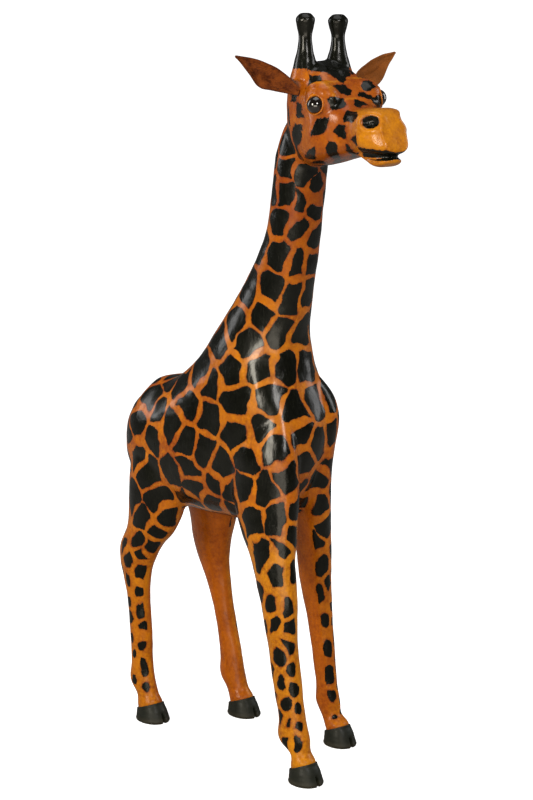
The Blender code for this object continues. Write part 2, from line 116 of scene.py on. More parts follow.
# Legs, from inside the trunk down to the top of the hoof:
# (front y, front z, back y, back z, half-width, distance from the midline)
FORE_RIGHT = mm([
    (-96, 620, -40, 620, 18, 40), (-118, 575, -22, 575, 28, 42), (-135, 525, -4, 525, 38, 50),
    (-144, 465, -4, 465, 39, 54), (-148, 400, -30, 400, 34, 62), (-152, 354, -62, 354, 29, 69),
    (-163, 290, -92, 290, 26, 75), (-168, 225, -112, 225, 22.5, 78), (-181, 160, -127, 160, 21, 80),
    (-193, 100, -143, 100, 19.8, 82), (-203, 70, -144, 66, 20.5, 83), (-206, 50, -173, 45, 18, 84),
    (-216, 34, -175, 22, 20, 84),
])
FORE_LEFT = mm([
    (-90, 640, -34, 640, 20, 42), (-112, 602, -28, 602, 34, 52), (-120, 565, -20, 565, 38, 56),
    (-118, 525, -6, 525, 36, 53), (-112, 465, -12, 465, 32, 50), (-104, 400, -24, 400, 30, 57),
    (-97, 340, -30, 340, 26.5, 66), (-90, 278, -30, 278, 23.5, 75), (-91, 210, -44, 210, 19.5, 79),
    (-97, 142, -55, 142, 17.8, 81), (-100, 100, -62, 100, 16.8, 82), (-104, 72, -61, 68, 18.5, 83),
    (-107, 50, -74, 46, 17, 84), (-125, 34, -85, 22, 19, 84),
])
HIND_RIGHT = mm([
    (172, 555, 236, 555, 20, 36), (142, 505, 254, 505, 36, 42), (130, 450, 257, 450, 44, 48),
    (136, 400, 258, 395, 41, 53), (152, 350, 259, 345, 33, 60), (184, 310, 276, 300, 26.5, 65),
    (205, 270, 269, 262, 21.5, 67), (211, 220, 257, 215, 18.5, 68), (206, 160, 250, 158, 17.8, 68),
    (204, 100, 247, 100, 17.2, 68), (200, 70, 250, 66, 19, 68), (192, 48, 232, 42, 17.5, 68),
    (183, 32, 228, 20, 20, 68),
])
HIND_LEFT = mm([
    (172, 555, 236, 555, 20, 36), (142, 505, 252, 505, 36, 42), (124, 450, 250, 450, 44, 48),
    (126, 400, 238, 395, 41, 53), (134, 350, 230, 345, 33, 60), (148, 310, 231, 300, 26.5, 65),
    (155, 270, 217, 262, 21.5, 67), (149, 220, 195, 215, 17.8, 68), (138, 160, 176, 158, 16.5, 68),
    (121, 100, 167, 100, 16.5, 68), (115, 70, 166, 66, 18.2, 68), (107, 48, 149, 42, 17, 68),
    (96, 32, 140, 20, 19.5, 68),
])
LEGS = {
    "right_fore": (-1, FORE_RIGHT),
    "left_fore": (1, FORE_LEFT),
    "right_hind": (-1, HIND_RIGHT),
    "left_hind": (1, HIND_LEFT),
}

# Horn, from its knob down to its root in the skull; tail, from inside the rump to the tuft
HORN = mm([
    (-161, 1226, -145, 1226, 9, 31), (-168, 1219, -138, 1219, 14.5, 31),
    (-167, 1209, -139, 1209, 14, 31), (-164, 1195, -142, 1195, 10.8, 31),
    (-166, 1172, -140, 1172, 11.8, 31.5), (-171, 1152, -135, 1152, 15, 33),
    (-182, 1124, -128, 1124, 20, 35),
])
LEFT_HORN_DROP = 0.003  # the left horn is a little shorter
LEFT_HORN_WIDER = 1.12  # and stouter
TAIL = mm([
    (254, 526, 274, 548, 9.5), (275, 521, 295, 535, 9), (291, 500, 309, 504, 7.5),
    (297, 460, 310, 460, 6), (297, 420, 308, 420, 5.2),
])

# Lumps on both sides of the head, warts on its right lip, and lumps on both sides of the body:
# (height, negative for a dent; its middle; its reach along x, y and z)
HEAD_LUMPS = mm([
    (1.2, 16, -345, 1032, 30, 20, 8), (1.5, 52, -205, 1035, 30, 30, 26), (-2, 45, -262, 1045, 20, 20, 18),
    (3, 22, -196, 1146, 20, 14, 14), (-2, 0, -180, 1152, 6, 40, 20), (4.2, 13, -155, 1154, 13, 26, 12),
])
WARTS = mm([(1, -36, -307, 1042, 5, 5, 4), (0.8, -33, -315, 1046, 4, 4, 3)])
BODY_LUMPS = mm([
    (5, 40, 204, 606, 26, 17, 20), (-6, 45, 243, 590, 32, 16, 20),
    (3, 86, -50, 560, 30, 40, 50), (-4, 80, 30, 560, 30, 30, 80),
])
SHOULDER = (-0.070, -0.070, 0.640)  # middle of the area where the orange is turned yellower, on the right side

# Ear, in its own plane: (distance from the root, upper edge, lower edge, depth of the hollow)
EAR = mm([
    (-8, 6, -6, 1), (4, 9, -10, 4), (20, 14, -15, 8), (36, 16.5, -20, 9), (48, 16.5, -23.8, 8),
    (56, 16, -22.8, 7), (76, 13, -13, 4), (92, 8, -5.5, 2), (107, 1.5, 0, 0),
])
EAR_ROOT = (0.055, -0.160, 1.110)
EAR_ALONG = {"right_ear": (0.082, 0.040, 0.050), "left_ear": (0.0925, 0.012, 0.050)}
EAR_UP = (-0.30, 0.10, 0.90)


# ---- Lofts -------------------------------------------------------------------------------------------


def along_curve(rows, at, want):
    """What a table's rows, given at some places, come to at other places along smooth curves."""
    slope = np.gradient(rows, at, axis=0)
    k = np.clip(np.searchsorted(at, want, side="right") - 1, 0, len(at) - 2)
    h = (at[k + 1] - at[k])[:, None]
    t = (want - at[k])[:, None] / h
    start = (1 + 2 * t) * (1 - t) ** 2 * rows[k] + t * (1 - t) ** 2 * h * slope[k]
    end = t * t * (3 - 2 * t) * rows[k + 1] + t * t * (t - 1) * h * slope[k + 1]
    return start + end


def resample(rows, step):
    """The rows of a form's table along smooth curves, about step apart."""
    rows = np.array(rows, float)
    middle = (rows[:, 0:2] + rows[:, 2:4]) / 2
    gaps = np.linalg.norm(np.diff(middle, axis=0), axis=1)
    at = np.concatenate([[0], np.cumsum(gaps)])
    return along_curve(rows, at, np.linspace(0, at[-1], int(at[-1] / step) + 2))


def loft(rows, count, square, side=0, step=0.004):
    """Rings of a superellipse loft. Angle 0 is the first outline point and 90 degrees is +X."""
    square = np.broadcast_to(square, len(rows))
    rows = resample(np.column_stack([np.array(rows, float), square]), step)
    angle = 2 * math.pi * np.arange(count) / count
    power = 2 / rows[:, -1:]
    along = np.sign(np.cos(angle)) * np.abs(np.cos(angle)) ** power
    across = np.sign(np.sin(angle)) * np.abs(np.sin(angle)) ** power
    middle = (rows[:, None, 0:2] + rows[:, None, 2:4]) / 2
    axis = (rows[:, None, 0:2] - rows[:, None, 2:4]) / 2
    flat = middle + axis * along[:, :, None]
    x = rows[:, 4:5] * across
    if rows.shape[1] > 6:
        x = x + side * rows[:, 5:6]
    return np.concatenate([x[:, :, None], flat], axis=2)


def domed(rings, bulge):
    """The rings, with rounded caps put on: bulge is how far each one stands out, at the start and the end."""
    start, end = [], []
    for share in (0.25, 0.5, 0.72, 0.88, 0.97):
        shrink = math.sqrt(1 - share * share)
        for height, kept, last, before in ((bulge[0], start, 0, 2), (bulge[1], end, -1, -3)):
            centre = rings[last].mean(0)
            out = centre - rings[before].mean(0)
            out = out / np.linalg.norm(out)
            kept.append(centre + (rings[last] - centre) * shrink + out * height * share)
    return np.concatenate([start[::-1], rings, end])


def quads(rows, count, first=0, rings=True, ring_of_rings=False):
    """Faces between neighbouring rows of vertices, with the numbering starting at first."""
    faces = []
    for i in range(rows if ring_of_rings else rows - 1):
        low, high = first + i * count, first + (i + 1) % rows * count
        for k in range(count if rings else count - 1):
            n = (k + 1) % count
            faces.append((low + k, low + n, high + n, high + k))
    return faces


def closed_loft(rings, first=0):
    """Vertices and faces of a loft with flat ends."""
    rows, count = rings.shape[:2]
    last = first + (rows - 1) * count
    ends = [list(range(first, first + count))[::-1], list(range(last, last + count))]
    return rings.reshape(-1, 3), quads(rows, count, first) + ends


def turned(points, angle=HEAD_TURN):
    """Points of the straight head, turned with it about the neck's axis."""
    c, s = math.cos(angle), math.sin(angle)
    out = np.array(points, float)
    x, y = out[..., 0].copy(), out[..., 1] - HEAD_AXIS_Y
    out[..., 0] = c * x - s * y
    out[..., 1] = s * x + c * y + HEAD_AXIS_Y
    return out


def straight(points):
    """The inverse of turned."""
    return turned(points, -HEAD_TURN)


# ---- Meshes ------------------------------------------------------------------------------------------


def linked(name, data):
    obj = bpy.data.objects.new(name, data)
    bpy.context.scene.collection.objects.link(obj)
    return obj


def make_object(name, points, faces):
    mesh = bpy.data.meshes.new(name)
    mesh.from_pydata([tuple(p) for p in points], [], faces)
    mesh.shade_smooth()
    return linked(name, mesh)


def outward(obj):
    """Turns the faces of a closed mesh to point out."""
    bm = bmesh.new()
    bm.from_mesh(obj.data)
    bmesh.ops.recalc_face_normals(bm, faces=bm.faces)
    bm.to_mesh(obj.data)
    bm.free()
    return obj


def applied(obj):
    """Replaces the object's mesh by what its modifiers make of it."""
    graph = bpy.context.evaluated_depsgraph_get()
    mesh = bpy.data.meshes.new_from_object(obj.evaluated_get(graph))
    obj.modifiers.clear()
    obj.data = mesh
    mesh.shade_smooth()
    return obj


def read(items, name, width, kind=np.float32):
    """One property of all vertices or edges, with a row for each."""
    out = np.empty(len(items) * width, kind)
    items.foreach_get(name, out)
    return out.reshape(-1, width)


def get_points(mesh):
    return read(mesh.vertices, "co", 3).astype(float)


def get_normals(mesh):
    return read(mesh.vertex_normals, "vector", 3).astype(float)


def get_edges(mesh):
    return read(mesh.edges, "vertices", 2, np.int32)


def set_points(mesh, points):
    mesh.vertices.foreach_set("co", points.astype(np.float32).ravel())
    mesh.update()


def attribute(mesh, name, values):
    made = mesh.attributes.new(name, "FLOAT", "POINT")
    made.data.foreach_set("value", values.astype(np.float32))


def averaged(values, edges):
    """The mean of each vertex's neighbours, for an array of numbers or of vectors."""
    count = len(values)
    degree = np.bincount(edges.ravel(), minlength=count).clip(1)
    wide = values.reshape(count, -1)
    out = np.empty_like(wide)
    for c in range(wide.shape[1]):
        both = np.bincount(edges[:, 0], wide[edges[:, 1], c], count)
        both += np.bincount(edges[:, 1], wide[edges[:, 0], c], count)
        out[:, c] = both / degree
    return out.reshape(values.shape)


def relaxed(points, edges, rounds, mask=1.0):
    """Smoothing that keeps the volume: each pull in is followed by a slightly stronger push out."""
    for _ in range(rounds):
        for share in (0.5, -0.52):
            points = points + (averaged(points, edges) - points) * share * mask
    return points


def filled_creases(points, normals, edges, keep_out):
    """Smooths only where the surface is hollow, so forms that meet run into each other."""
    hollow = ((averaged(points, edges) - points) * normals).sum(1)
    mask = np.clip(hollow / 0.00025, 0, 1) * keep_out
    for _ in range(6):
        mask = np.maximum(mask * 0.97, averaged(mask, edges))
    mask = (mask * keep_out)[:, None]
    for _ in range(45):
        points = points + (averaged(points, edges) - points) * 0.5 * mask
    return points


def noise_at(points, scale, seed):
    """Smooth noise, one number for each point. (noise_vector differs from one run to the next.)"""
    offset = Vector((seed * 7.3, seed * 3.1, seed * 5.7))
    return np.array([noise.noise(Vector(p) * scale + offset) for p in points])


def wobble_at(points, scale, seed):
    """Smooth noise, one vector for each point."""
    return np.stack([noise_at(points, scale, seed + 20 * k) for k in range(3)], axis=1)


def bell(values, middle, width):
    """1 at the middle, falling off smoothly on either side."""
    return np.exp(-(((values - middle) / width) ** 2))


def near(points, centre, radii):
    """The same in space: 1 at the centre, falling off all round."""
    return np.exp(-(((points - np.array(centre)) / np.array(radii)) ** 2).sum(1))


def lumps(points, rows):
    return sum(row[0] * near(points, row[1:4], row[4:]) for row in rows)


def folded(points):
    """The points with the right side laid over the left, so that x is the distance from the midline."""
    return np.column_stack([np.abs(points[:, 0]), points[:, 1:]])


def step_up(low, high, values):
    """0 below low, 1 above high, smooth in between."""
    t = np.clip((values - low) / (high - low), 0, 1)
    return t * t * (3 - 2 * t)


# ---- The hide ----------------------------------------------------------------------------------------


def fused_hide():
    """Trunk, head, jaw, horns and legs as one closed skin."""
    parts = [
        domed(loft(TRUNK, 72, 2.3), (0.008, 0.004)),
        turned(domed(loft(HEAD, 80, HEAD_SQUARE), (0.004, 0.002))),
        turned(domed(loft(JAW, 48, 2.3), (0.001, 0.004))),
        turned(domed(loft(MOUTH, 48, 2.5), (0.001, 0.002))),
    ]
    stout = [(*row[:4], row[4] * LEFT_HORN_WIDER, row[5]) for row in HORN]
    left_horn = [(a, b - LEFT_HORN_DROP, c, d - LEFT_HORN_DROP, e, f) for a, b, c, d, e, f in stout]
    for side, horn in ((-1, HORN), (1, left_horn)):
        parts.append(turned(domed(loft(horn, 40, 2.0, side, 0.002), (0.001, 0.002))))
        parts.append(turned(domed(loft(BROW, 48, 2.3, side, 0.002), (0.003, 0.003))))
    into_hoof = (0.003, -0.010, -0.003, -0.008, -0.003, 0)
    for side, rows in LEGS.values():
        inside = tuple(np.add(rows[-1], into_hoof))
        parts.append(loft(rows + [inside], 48, 2.0, side))
    points, faces = [], []
    total = 0
    for rings in parts:
        some, between = closed_loft(rings, total)
        points.append(some)
        faces += between
        total += len(some)
    obj = outward(make_object("hide", np.concatenate(points), faces))
    remesh = obj.modifiers.new("fuse", "REMESH")
    remesh.mode = "VOXEL"
    remesh.voxel_size = VOXEL
    remesh.adaptivity = 0
    return applied(obj)


def largest_island(obj):
    """Keeps the outer skin, and drops any closed pocket inside it."""
    mesh = obj.data
    label = np.arange(len(mesh.vertices))
    edges = get_edges(mesh)
    while True:
        low = np.minimum(label[edges[:, 0]], label[edges[:, 1]])
        before = label.copy()
        np.minimum.at(label, edges[:, 0], low)
        np.minimum.at(label, edges[:, 1], low)
        label = label[label]
        if (label == before).all():
            break
    kept = np.bincount(label).argmax()
    bm = bmesh.new()
    bm.from_mesh(mesh)
    bm.verts.ensure_lookup_table()
    extra = [bm.verts[i] for i in np.flatnonzero(label != kept)]
    bmesh.ops.delete(bm, geom=extra, context="VERTS")
    bm.to_mesh(mesh)
    bm.free()


def refine(mesh, above):
    """Splits each face that lies above the height into four."""
    bm = bmesh.new()
    bm.from_mesh(mesh)
    chosen = sorted({e.index for f in bm.faces if f.calc_center_median().z > above for e in f.edges})
    bm.edges.ensure_lookup_table()
    bmesh.ops.subdivide_edges(bm, edges=[bm.edges[i] for i in chosen], cuts=1, use_grid_fill=True)
    bm.to_mesh(mesh)
    bm.free()
    mesh.shade_smooth()


def mouth_lining(head, normals):
    """Positive on the black inner sides of the lips, and on what lies behind them."""
    behind = step_up(-0.292, -0.300, head[:, 1])
    upper = step_up(-0.30, -0.70, normals[:, 2]) * (head[:, 2] > 1.0190) * (head[:, 2] < 1.034)
    lower = step_up(0.30, 0.65, normals[:, 2]) * (head[:, 2] < 1.0200) * (head[:, 2] > 1.0120)
    between = step_up(0.0032, 0.0020, np.abs(head[:, 2] - LIPS_MEET))
    return 0.004 * behind * np.maximum(np.maximum(upper, lower), between) - 0.002


def from_eye(head):
    """Offsets from each side's eye, mirrored so that x points out of the head."""
    out = head - np.where(head[:, 0:1] < 0, EYES[-1], EYES[1])
    out[:, 0] *= np.where(head[:, 0] < 0, -1.0, 1.0)
    return out


def from_nostril(head):
    """Distance from a nostril's middle, 1 on its rim."""
    off = folded(head) - np.array(NOSTRIL)
    along, into = off @ np.array((0.55, 0.83, 0.0)), off @ np.array((0.83, -0.55, 0))
    return np.sqrt((along / 0.0165) ** 2 + (off[:, 2] / 0.0122) ** 2 + (into / 0.016) ** 2)


def from_brow(d):
    """Distance from the middle of the dome over an eye, seen from the side."""
    return np.hypot(d[:, 1] - 0.004, d[:, 2] - 0.006)


def sculpt_head(head):
    """How far each vertex of the head moves along its normal."""
    d = from_eye(head)
    # the edge of the dome over the eye, and a shallow hollow round the eye
    upper = step_up(-0.002, 0.012, d[:, 2]) * step_up(-0.030, -0.010, d[:, 0])
    out = (0.0021 * bell(from_brow(d), 0.0275, 0.0024) - 0.0016 * bell(from_brow(d), 0.0325, 0.0030)) * upper
    out -= 0.0012 * bell(np.hypot(d[:, 1], d[:, 2]), 0.0200, 0.0040) * step_up(-0.02, 0.0, d[:, 0])
    # nostrils: oval pits with a soft rim, on the slanted corners of the muzzle
    hole = from_nostril(head)
    out += 0.0010 * bell(hole, 1.25, 0.25) - 0.0095 * step_up(1.08, 0.50, hole)
    # full upper lip, cheek, and the folds of the crown where the horns' leather is gathered
    out += lumps(folded(head), HEAD_LUMPS) + lumps(head, WARTS)
    return out * step_up(0.98, 1.00, head[:, 2])


def horn_wraps(head):
    """Folds of the leather wound round the horns."""
    turn = np.arctan2(np.abs(head[:, 0]) - 0.031, head[:, 1] + 0.155)
    height = head[:, 2]
    wound = np.sin(height * 300 + turn * 1.6 + 2.6 * np.sin(turn * 2 + height * 110))
    return 0.00007 * wound * step_up(1.190, 1.160, height) * step_up(1.132, 1.150, height)


def knees(points):
    """Knee caps, hock points and fetlocks."""
    out = np.zeros(len(points))
    for side, rows in LEGS.values():
        for index, height in ((6, 0.0024), (-3, 0.0012)):
            front_y, front_z, back_y, back_z, wide, offset = rows[index]
            at_y = front_y if rows[0][0] < 0 or index < 0 else back_y
            out += height * near(points, (side * offset, at_y, front_z), (0.016, 0.012, 0.020))
    return out


def pressed_eye_pits(points):
    """The points with round pits pressed in, in which the glass eyes sit."""
    for side, eye in EYES.items():
        off = points - turned(eye)
        axis = turned((side * 0.88, HEAD_AXIS_Y - 0.42, 0.20)) - (0, HEAD_AXIS_Y, 0)
        axis = axis / np.linalg.norm(axis)
        along = off @ axis
        across = np.linalg.norm(off - along[:, None] * axis, axis=1)
        pit = step_up(0.0145, 0.0121, across) * (along > -0.004)
        points = points - axis * (pit * np.clip(along + 0.002, 0, 0.02))[:, None]
    return points


def build_hide():
    obj = fused_hide()
    largest_island(obj)
    mesh = obj.data
    edges = get_edges(mesh)
    points = get_points(mesh)
    head = straight(points)
    lips = step_up(0.012, 0.004, np.abs(head[:, 2] - 1.018)) * step_up(-0.27, -0.285, head[:, 1])
    points = filled_creases(points, get_normals(mesh), edges, 1 - lips)
    set_points(mesh, relaxed(points, edges, 4))
    refine(mesh, FINE_ABOVE)
    edges = get_edges(mesh)
    points = get_points(mesh)
    fine = step_up(FINE_ABOVE - 0.01, FINE_ABOVE + 0.01, points[:, 2])[:, None]
    points = relaxed(points, edges, 6, fine)
    horns = step_up(1.150, 1.160, points[:, 2])[:, None]
    points = relaxed(points, edges, 10, horns)
    set_points(mesh, points)
    head = straight(points)
    lift = sculpt_head(head) + horn_wraps(head) + lumps(folded(points), BODY_LUMPS) + knees(points)
    # unevenness of leather pulled over a hand-shaped form
    lift += noise_at(points, 22.0, 1) * 0.0011 + noise_at(points, 60.0, 2) * 0.00045
    points = pressed_eye_pits(points + get_normals(mesh) * lift[:, None])
    set_points(mesh, relaxed(points, edges, 1))
    return obj


# ---- The painted pattern -----------------------------------------------------------------------------

# Middles of the patches on the trunk's right side and breast: (place along TRUNK, degrees from its back)
TRUNK_SPOTS = [
    (3.2, -98), (3.3, -75), (3.8, -45), (4.7, -25), (4.0, -112), (4.35, -83), (4.6, -65),
    (5.0, -108), (5.35, -77), (5.1, -136), (5.8, -50), (5.8, -107), (5.75, -120), (6.35, -68),
    (6.6, -119), (6.75, -95), (7.2, -108), (7.3, -128), (7.4, -83), (7.4, -50), (8.0, -68),
    (8.15, -132), (8.5, -102), (8.6, -122), (8.65, -155), (9.2, -92), (9.2, -50), (9.25, -168),
    (9.45, -142), (9.5, -80), (9.6, -126), (9.95, -165), (10.3, -125), (10.45, -158), (10.6, -64),
    (10.8, -110), (10.85, -88), (11.5, -153), (12.15, -103), (12.25, -138), (12.2, -66),
    (13.15, -105), (13.35, -158), (14.15, -105), (14.2, -156), (15.0, -97), (15.1, -152),
    (15.85, -103), (15.85, -147), (16.7, -97), (16.6, -152), (16.35, 178), (15.6, 176), (14.9, 174),
    (14.15, 172), (13.4, 173), (12.4, 174), (11.5, 170), (10.6, 160), (9.8, 165), (10.2, 128), (9.6, 138),
]
# Middles of the patches on the legs: (place along the leg's table, degrees from its front, + is to the left)
LEG_SPOTS = {
    "right_fore": [
        (3.8, -88), (3.65, -42), (4.85, -82), (4.6, -28), (5.3, -50), (5.95, -75), (6.05, -28),
        (6.55, -72), (6.55, -18), (7.0, -28), (7.25, -67), (7.6, -26), (7.9, -70), (8.15, -30),
        (8.55, -70), (8.75, -18), (9.0, -112), (9.2, -72), (9.25, -25), (10.2, -38), (10.2, -95),
        (5.75, -118), (7.7, -112), (6.7, -118), (8.4, -122), (5.2, 8), (4.0, 4),
    ],
    "right_hind": [
        (2.35, -78), (2.9, -48), (3.65, -80), (3.45, -30), (4.0, -42), (4.5, -75), (4.75, -33),
        (4.9, -115), (5.3, -48), (5.4, -88), (6.1, -48), (6.3, -100), (6.75, -55), (7.4, -45),
        (7.1, -112), (7.6, -110), (7.95, -40), (8.2, -108), (8.45, -40), (8.8, -98), (9.1, -45),
        (9.8, -95), (10.4, -38), (10.3, -102),
    ],
    "left_fore": [
        (4.45, -75), (4.6, -28), (5.7, -48), (6.45, -28), (7.3, -38), (7.95, -28), (8.65, -28),
        (9.5, -28), (10.4, -22), (12.0, -15), (5.2, 0), (7.0, 12),
    ],
}
NECK_AXIS = np.array((0.0, -0.22, 0.975))


def gap_between_spots(points):
    """Distance from one black patch to the next, over the body."""
    z = points[:, 2]
    neck = 0.056 - 0.020 * step_up(0.72, 1.00, z)
    leg = 0.050 - 0.024 * step_up(0.44, 0.18, z)
    return np.where(z > 0.60, neck, leg)


def stretch_of_spots(points):
    """How much longer than wide the patches are, along the neck or the leg."""
    z = points[:, 2]
    return 1.0 + 0.35 * step_up(0.70, 0.82, z) + 0.30 * step_up(0.42, 0.30, z)


def squared_gaps(points, normals, stretch, spots, spot_normals):
    """Squared distances from points to spots, shorter along the neck, longer round a corner."""
    diff = points[:, None, :] - spots[None, :, :]
    along = diff @ NECK_AXIS
    out = (diff**2).sum(2) - (1 - 1 / stretch[:, None] ** 2) * along**2
    return out + 0.0006 * (1 - normals @ spot_normals.T)


def scattered_spots(points, normals, laid, seed):
    """Indices of vertices for the patches' middles: the laid ones first, then as many as fit between."""
    rng = np.random.RandomState(seed)
    spacing, stretch = gap_between_spots(points), stretch_of_spots(points)
    usable = np.flatnonzero((points[:, 2] > 0.36) & (points[:, 2] < 1.10))
    usable = usable[np.lexsort(np.round(points[usable], 4).T)]
    kept = []
    for i in list(laid) + list(rng.permutation(usable)[:PATCH_TRIES]):
        share = 0.84 if len(kept) >= len(laid) * 0.8 and i not in laid else 0.45
        if kept:
            here = slice(i, i + 1)
            gaps = squared_gaps(points[here], normals[here], stretch[here], points[kept], normals[kept])
            if gaps.min() < (share * spacing[i]) ** 2:
                continue
        kept.append(i)
    return kept


def on_form(rows, row, degrees, square, side=0):
    """The point of a form at a place along its table and at an angle round it, as in loft."""
    table = np.array(rows, float)
    k = min(int(row), len(table) - 2)
    t = table[k] + (table[k + 1] - table[k]) * (row - k)
    a = math.radians(degrees)
    along = math.copysign(abs(math.cos(a)) ** (2 / square), math.cos(a))
    across = math.copysign(abs(math.sin(a)) ** (2 / square), math.sin(a))
    y, z = (t[0:2] + t[2:4]) / 2 + (t[0:2] - t[2:4]) / 2 * along
    return t[4] * across + (side * t[5] if len(t) > 5 else 0.0), y, z


def laid_spots():
    """Middles of the listed patches, with the trunk's repeated on its left side, a little moved."""
    out = [on_form(TRUNK, row, angle, 2.3) for row, angle in TRUNK_SPOTS]
    for name, spots in LEG_SPOTS.items():
        side, rows = LEGS[name]
        out += [on_form(rows, row, angle, 2.0, side) for row, angle in spots]
    rng = np.random.RandomState(7)
    for row, angle in TRUNK_SPOTS:
        if -158 < angle < -30:
            moved = row + rng.uniform(-0.12, 0.12), -angle + rng.uniform(-5, 5)
            out.append(on_form(TRUNK, *moved, 2.3))
    return out


def leg_spots():
    """Middles of the small patches on the sides of the lower legs with none laid, in staggered columns."""
    columns = {"left_fore": ((35, 150), (95,)), "left_hind": ((60, 160), (110,))}
    out = []
    for name, (side, rows) in LEGS.items():
        table = resample(rows, 0.002)
        height, count = 0.330, 0
        while height > 0.052:
            row = table[np.abs((table[:, 1] + table[:, 3]) / 2 - height).argmin()]
            for degrees in columns.get(name, ((150,), ()))[count % 2]:
                a = math.radians(degrees)
                y = (row[0] + row[2]) / 2 + (row[0] - row[2]) / 2 * math.cos(a)
                x = side * (row[5] + row[4] * math.sin(a))
                out.append((x, y, height))
            height -= 0.010 + 0.020 * height
            count += 1
    return out


def nearest(points, wanted):
    return [int(((points - np.array(w)) ** 2).sum(1).argmin()) for w in wanted]


def patch_distance(points, normals, chosen, size):
    """Signed distance to the patches' edges, positive in the black."""
    spots, spot_normals = points[chosen], normals[chosen]
    stretch = stretch_of_spots(points)
    wobble = wobble_at(points, 27.0, 3) * 0.0120 + wobble_at(points, 70.0, 4) * 0.0026
    moved = points + wobble
    out = np.empty(len(points))
    low = step_up(0.33, 0.27, points[:, 2])
    torso = step_up(0.80, 0.66, points[:, 2])
    line = 0.0047 + 0.0004 * torso + 0.0064 * noise_at(points, 34.0, 5) + 0.0009 * low
    for start in range(0, len(points), BATCH):
        part = slice(start, start + BATCH)
        d = squared_gaps(moved[part], normals[part], stretch[part], spots, spot_normals)
        first = np.argpartition(d, 5, axis=1)[:, :6]
        values = np.take_along_axis(d, first, 1)
        order = values.argsort(1)
        first = np.take_along_axis(first, order, 1)
        values = np.take_along_axis(values, order, 1)
        between = spots[first[:, 1:]] - spots[first[:, :1]]
        squash = 1 - 1 / stretch[part][:, None, None] ** 2
        between = between - squash * (between @ NECK_AXIS)[:, :, None] * NECK_AXIS
        length = np.sqrt((between**2).sum(2)).clip(0.004)
        edge = (values[:, 1:] - values[:, :1]) / (2 * length)
        round_off = 0.0007
        soft = -round_off * np.log(np.exp(-edge / round_off).sum(1))
        limit = size[first[:, 0]] - np.sqrt(values[:, 0].clip(0))
        out[part] = np.minimum(soft - line[part], limit)
    return out


# Patches of the straight head, seen from its right front quarter, in millimetres from the right eye:
# (across, up) for each corner. The first ones are on the forehead. The others are repeated on the left side.
MIDDLE_PATCHES = [
    [(26, 29), (31, 35), (46, 33), (55, 25), (54, 17), (46, 16), (37, 20)],
    [(70, 35), (74, 43), (83, 44), (93, 35), (84, 25), (73, 27)],
    [(63, 17), (67, 24), (73, 23), (84, 19), (90, 12), (77, 13)],
    [(57, 4), (59, 10), (70, 7), (81, 1), (72, 0), (66, -6), (61, -3)],
    [(90, -2), (93, 2), (102, 1), (111, -3)],
]
SIDE_PATCHES = [
    [(-10, 54), (-6, 49), (7, 49), (11, 39), (0, 38), (-14, 30), (-10, 39)],
    [(17, 8), (21, 12), (42, 10), (45, -1), (40, -8), (23, -10), (20, -2)],
    [(41, -19), (47, -10), (61, -15), (63, -22), (55, -32), (43, -27)],
    [(-9, -39), (1, -20), (20, -20), (17, -34), (10, -44), (-6, -45)],
    [(24, -42), (34, -31), (43, -32), (45, -54), (32, -48)],
    [(-17, -72), (-10, -62), (-1, -61), (0, -75), (6, -90), (-11, -90), (-16, -80)],
    [(14, -64), (19, -56), (30, -57), (33, -69), (39, -80), (28, -79), (16, -72)],
    [(44, -62), (48, -62), (55, -71), (66, -77), (58, -78), (47, -72)],
    [(53, -56), (59, -49), (63, -56), (66, -68), (60, -66)],
    [(-39, 16), (-35, 33), (-28, 38), (-24, 27), (-32, 13)],
    [(-30, -8), (-28, 13), (-23, 7), (-20, -5), (-17, -15), (-26, -13)],
    [(-38, -37), (-32, -20), (-20, -25), (-21, -48), (-30, -57), (-34, -52)],
    [(-38, -68), (-32, -68), (-27, -80), (-13, -92), (-18, -95), (-32, -86)],
]
QUARTER = Vector((-0.55, -0.81, 0.20)).normalized()  # from the head to where the patches are seen from


def inside_outline(u, v, corners):
    """Signed distance to a flat outline's edge, positive inside."""
    nearest_edge = np.full(len(u), 1e9)
    inside = np.zeros(len(u), bool)
    for (u0, v0), (u1, v1) in zip(corners, corners[1:] + corners[:1]):
        du, dv = u1 - u0, v1 - v0
        t = np.clip(((u - u0) * du + (v - v0) * dv) / (du * du + dv * dv), 0, 1)
        nearest_edge = np.minimum(nearest_edge, np.hypot(u - u0 - t * du, v - v0 - t * dv))
        if dv:
            crossed = ((v0 > v) != (v1 > v)) & (u < du * (v - v0) / dv + u0)
            inside ^= crossed
    return np.where(inside, nearest_edge, -nearest_edge)


def head_paint(head, normals):
    """Signed distance to the black patches of the head, in its straight coordinates."""
    wobble = wobble_at(head, 110.0, 6) * 0.0022 + wobble_at(head, 300.0, 7) * 0.0009
    out = np.full(len(head), -0.05)
    for side in (-1, 1):
        flip = np.array((-side, 1, 1))
        across = Vector((0, 0, 1)).cross(QUARTER).normalized()
        up = QUARTER.cross(across)
        off = (head + wobble) * flip - np.array(EYES[-1])
        u, v = off @ np.array(across) * 1000, off @ np.array(up) * 1000
        seen = (normals * flip) @ np.array(QUARTER) > -0.05
        near_side = head[:, 0] * side > -0.002
        patches = SIDE_PATCHES + (MIDDLE_PATCHES if side < 0 else [])
        for k, corners in enumerate(patches):
            moved = corners
            if side > 0:
                moved = [(a + 3 * math.sin(k * 5.0), b + 2 * math.sin(k * 3.0 + 1)) for a, b in corners]
            here = inside_outline(u, v, moved) * 0.001
            allowed = seen if k >= len(SIDE_PATCHES) else seen & near_side
            out = np.maximum(out, np.where(allowed, here, -0.05))
    return out


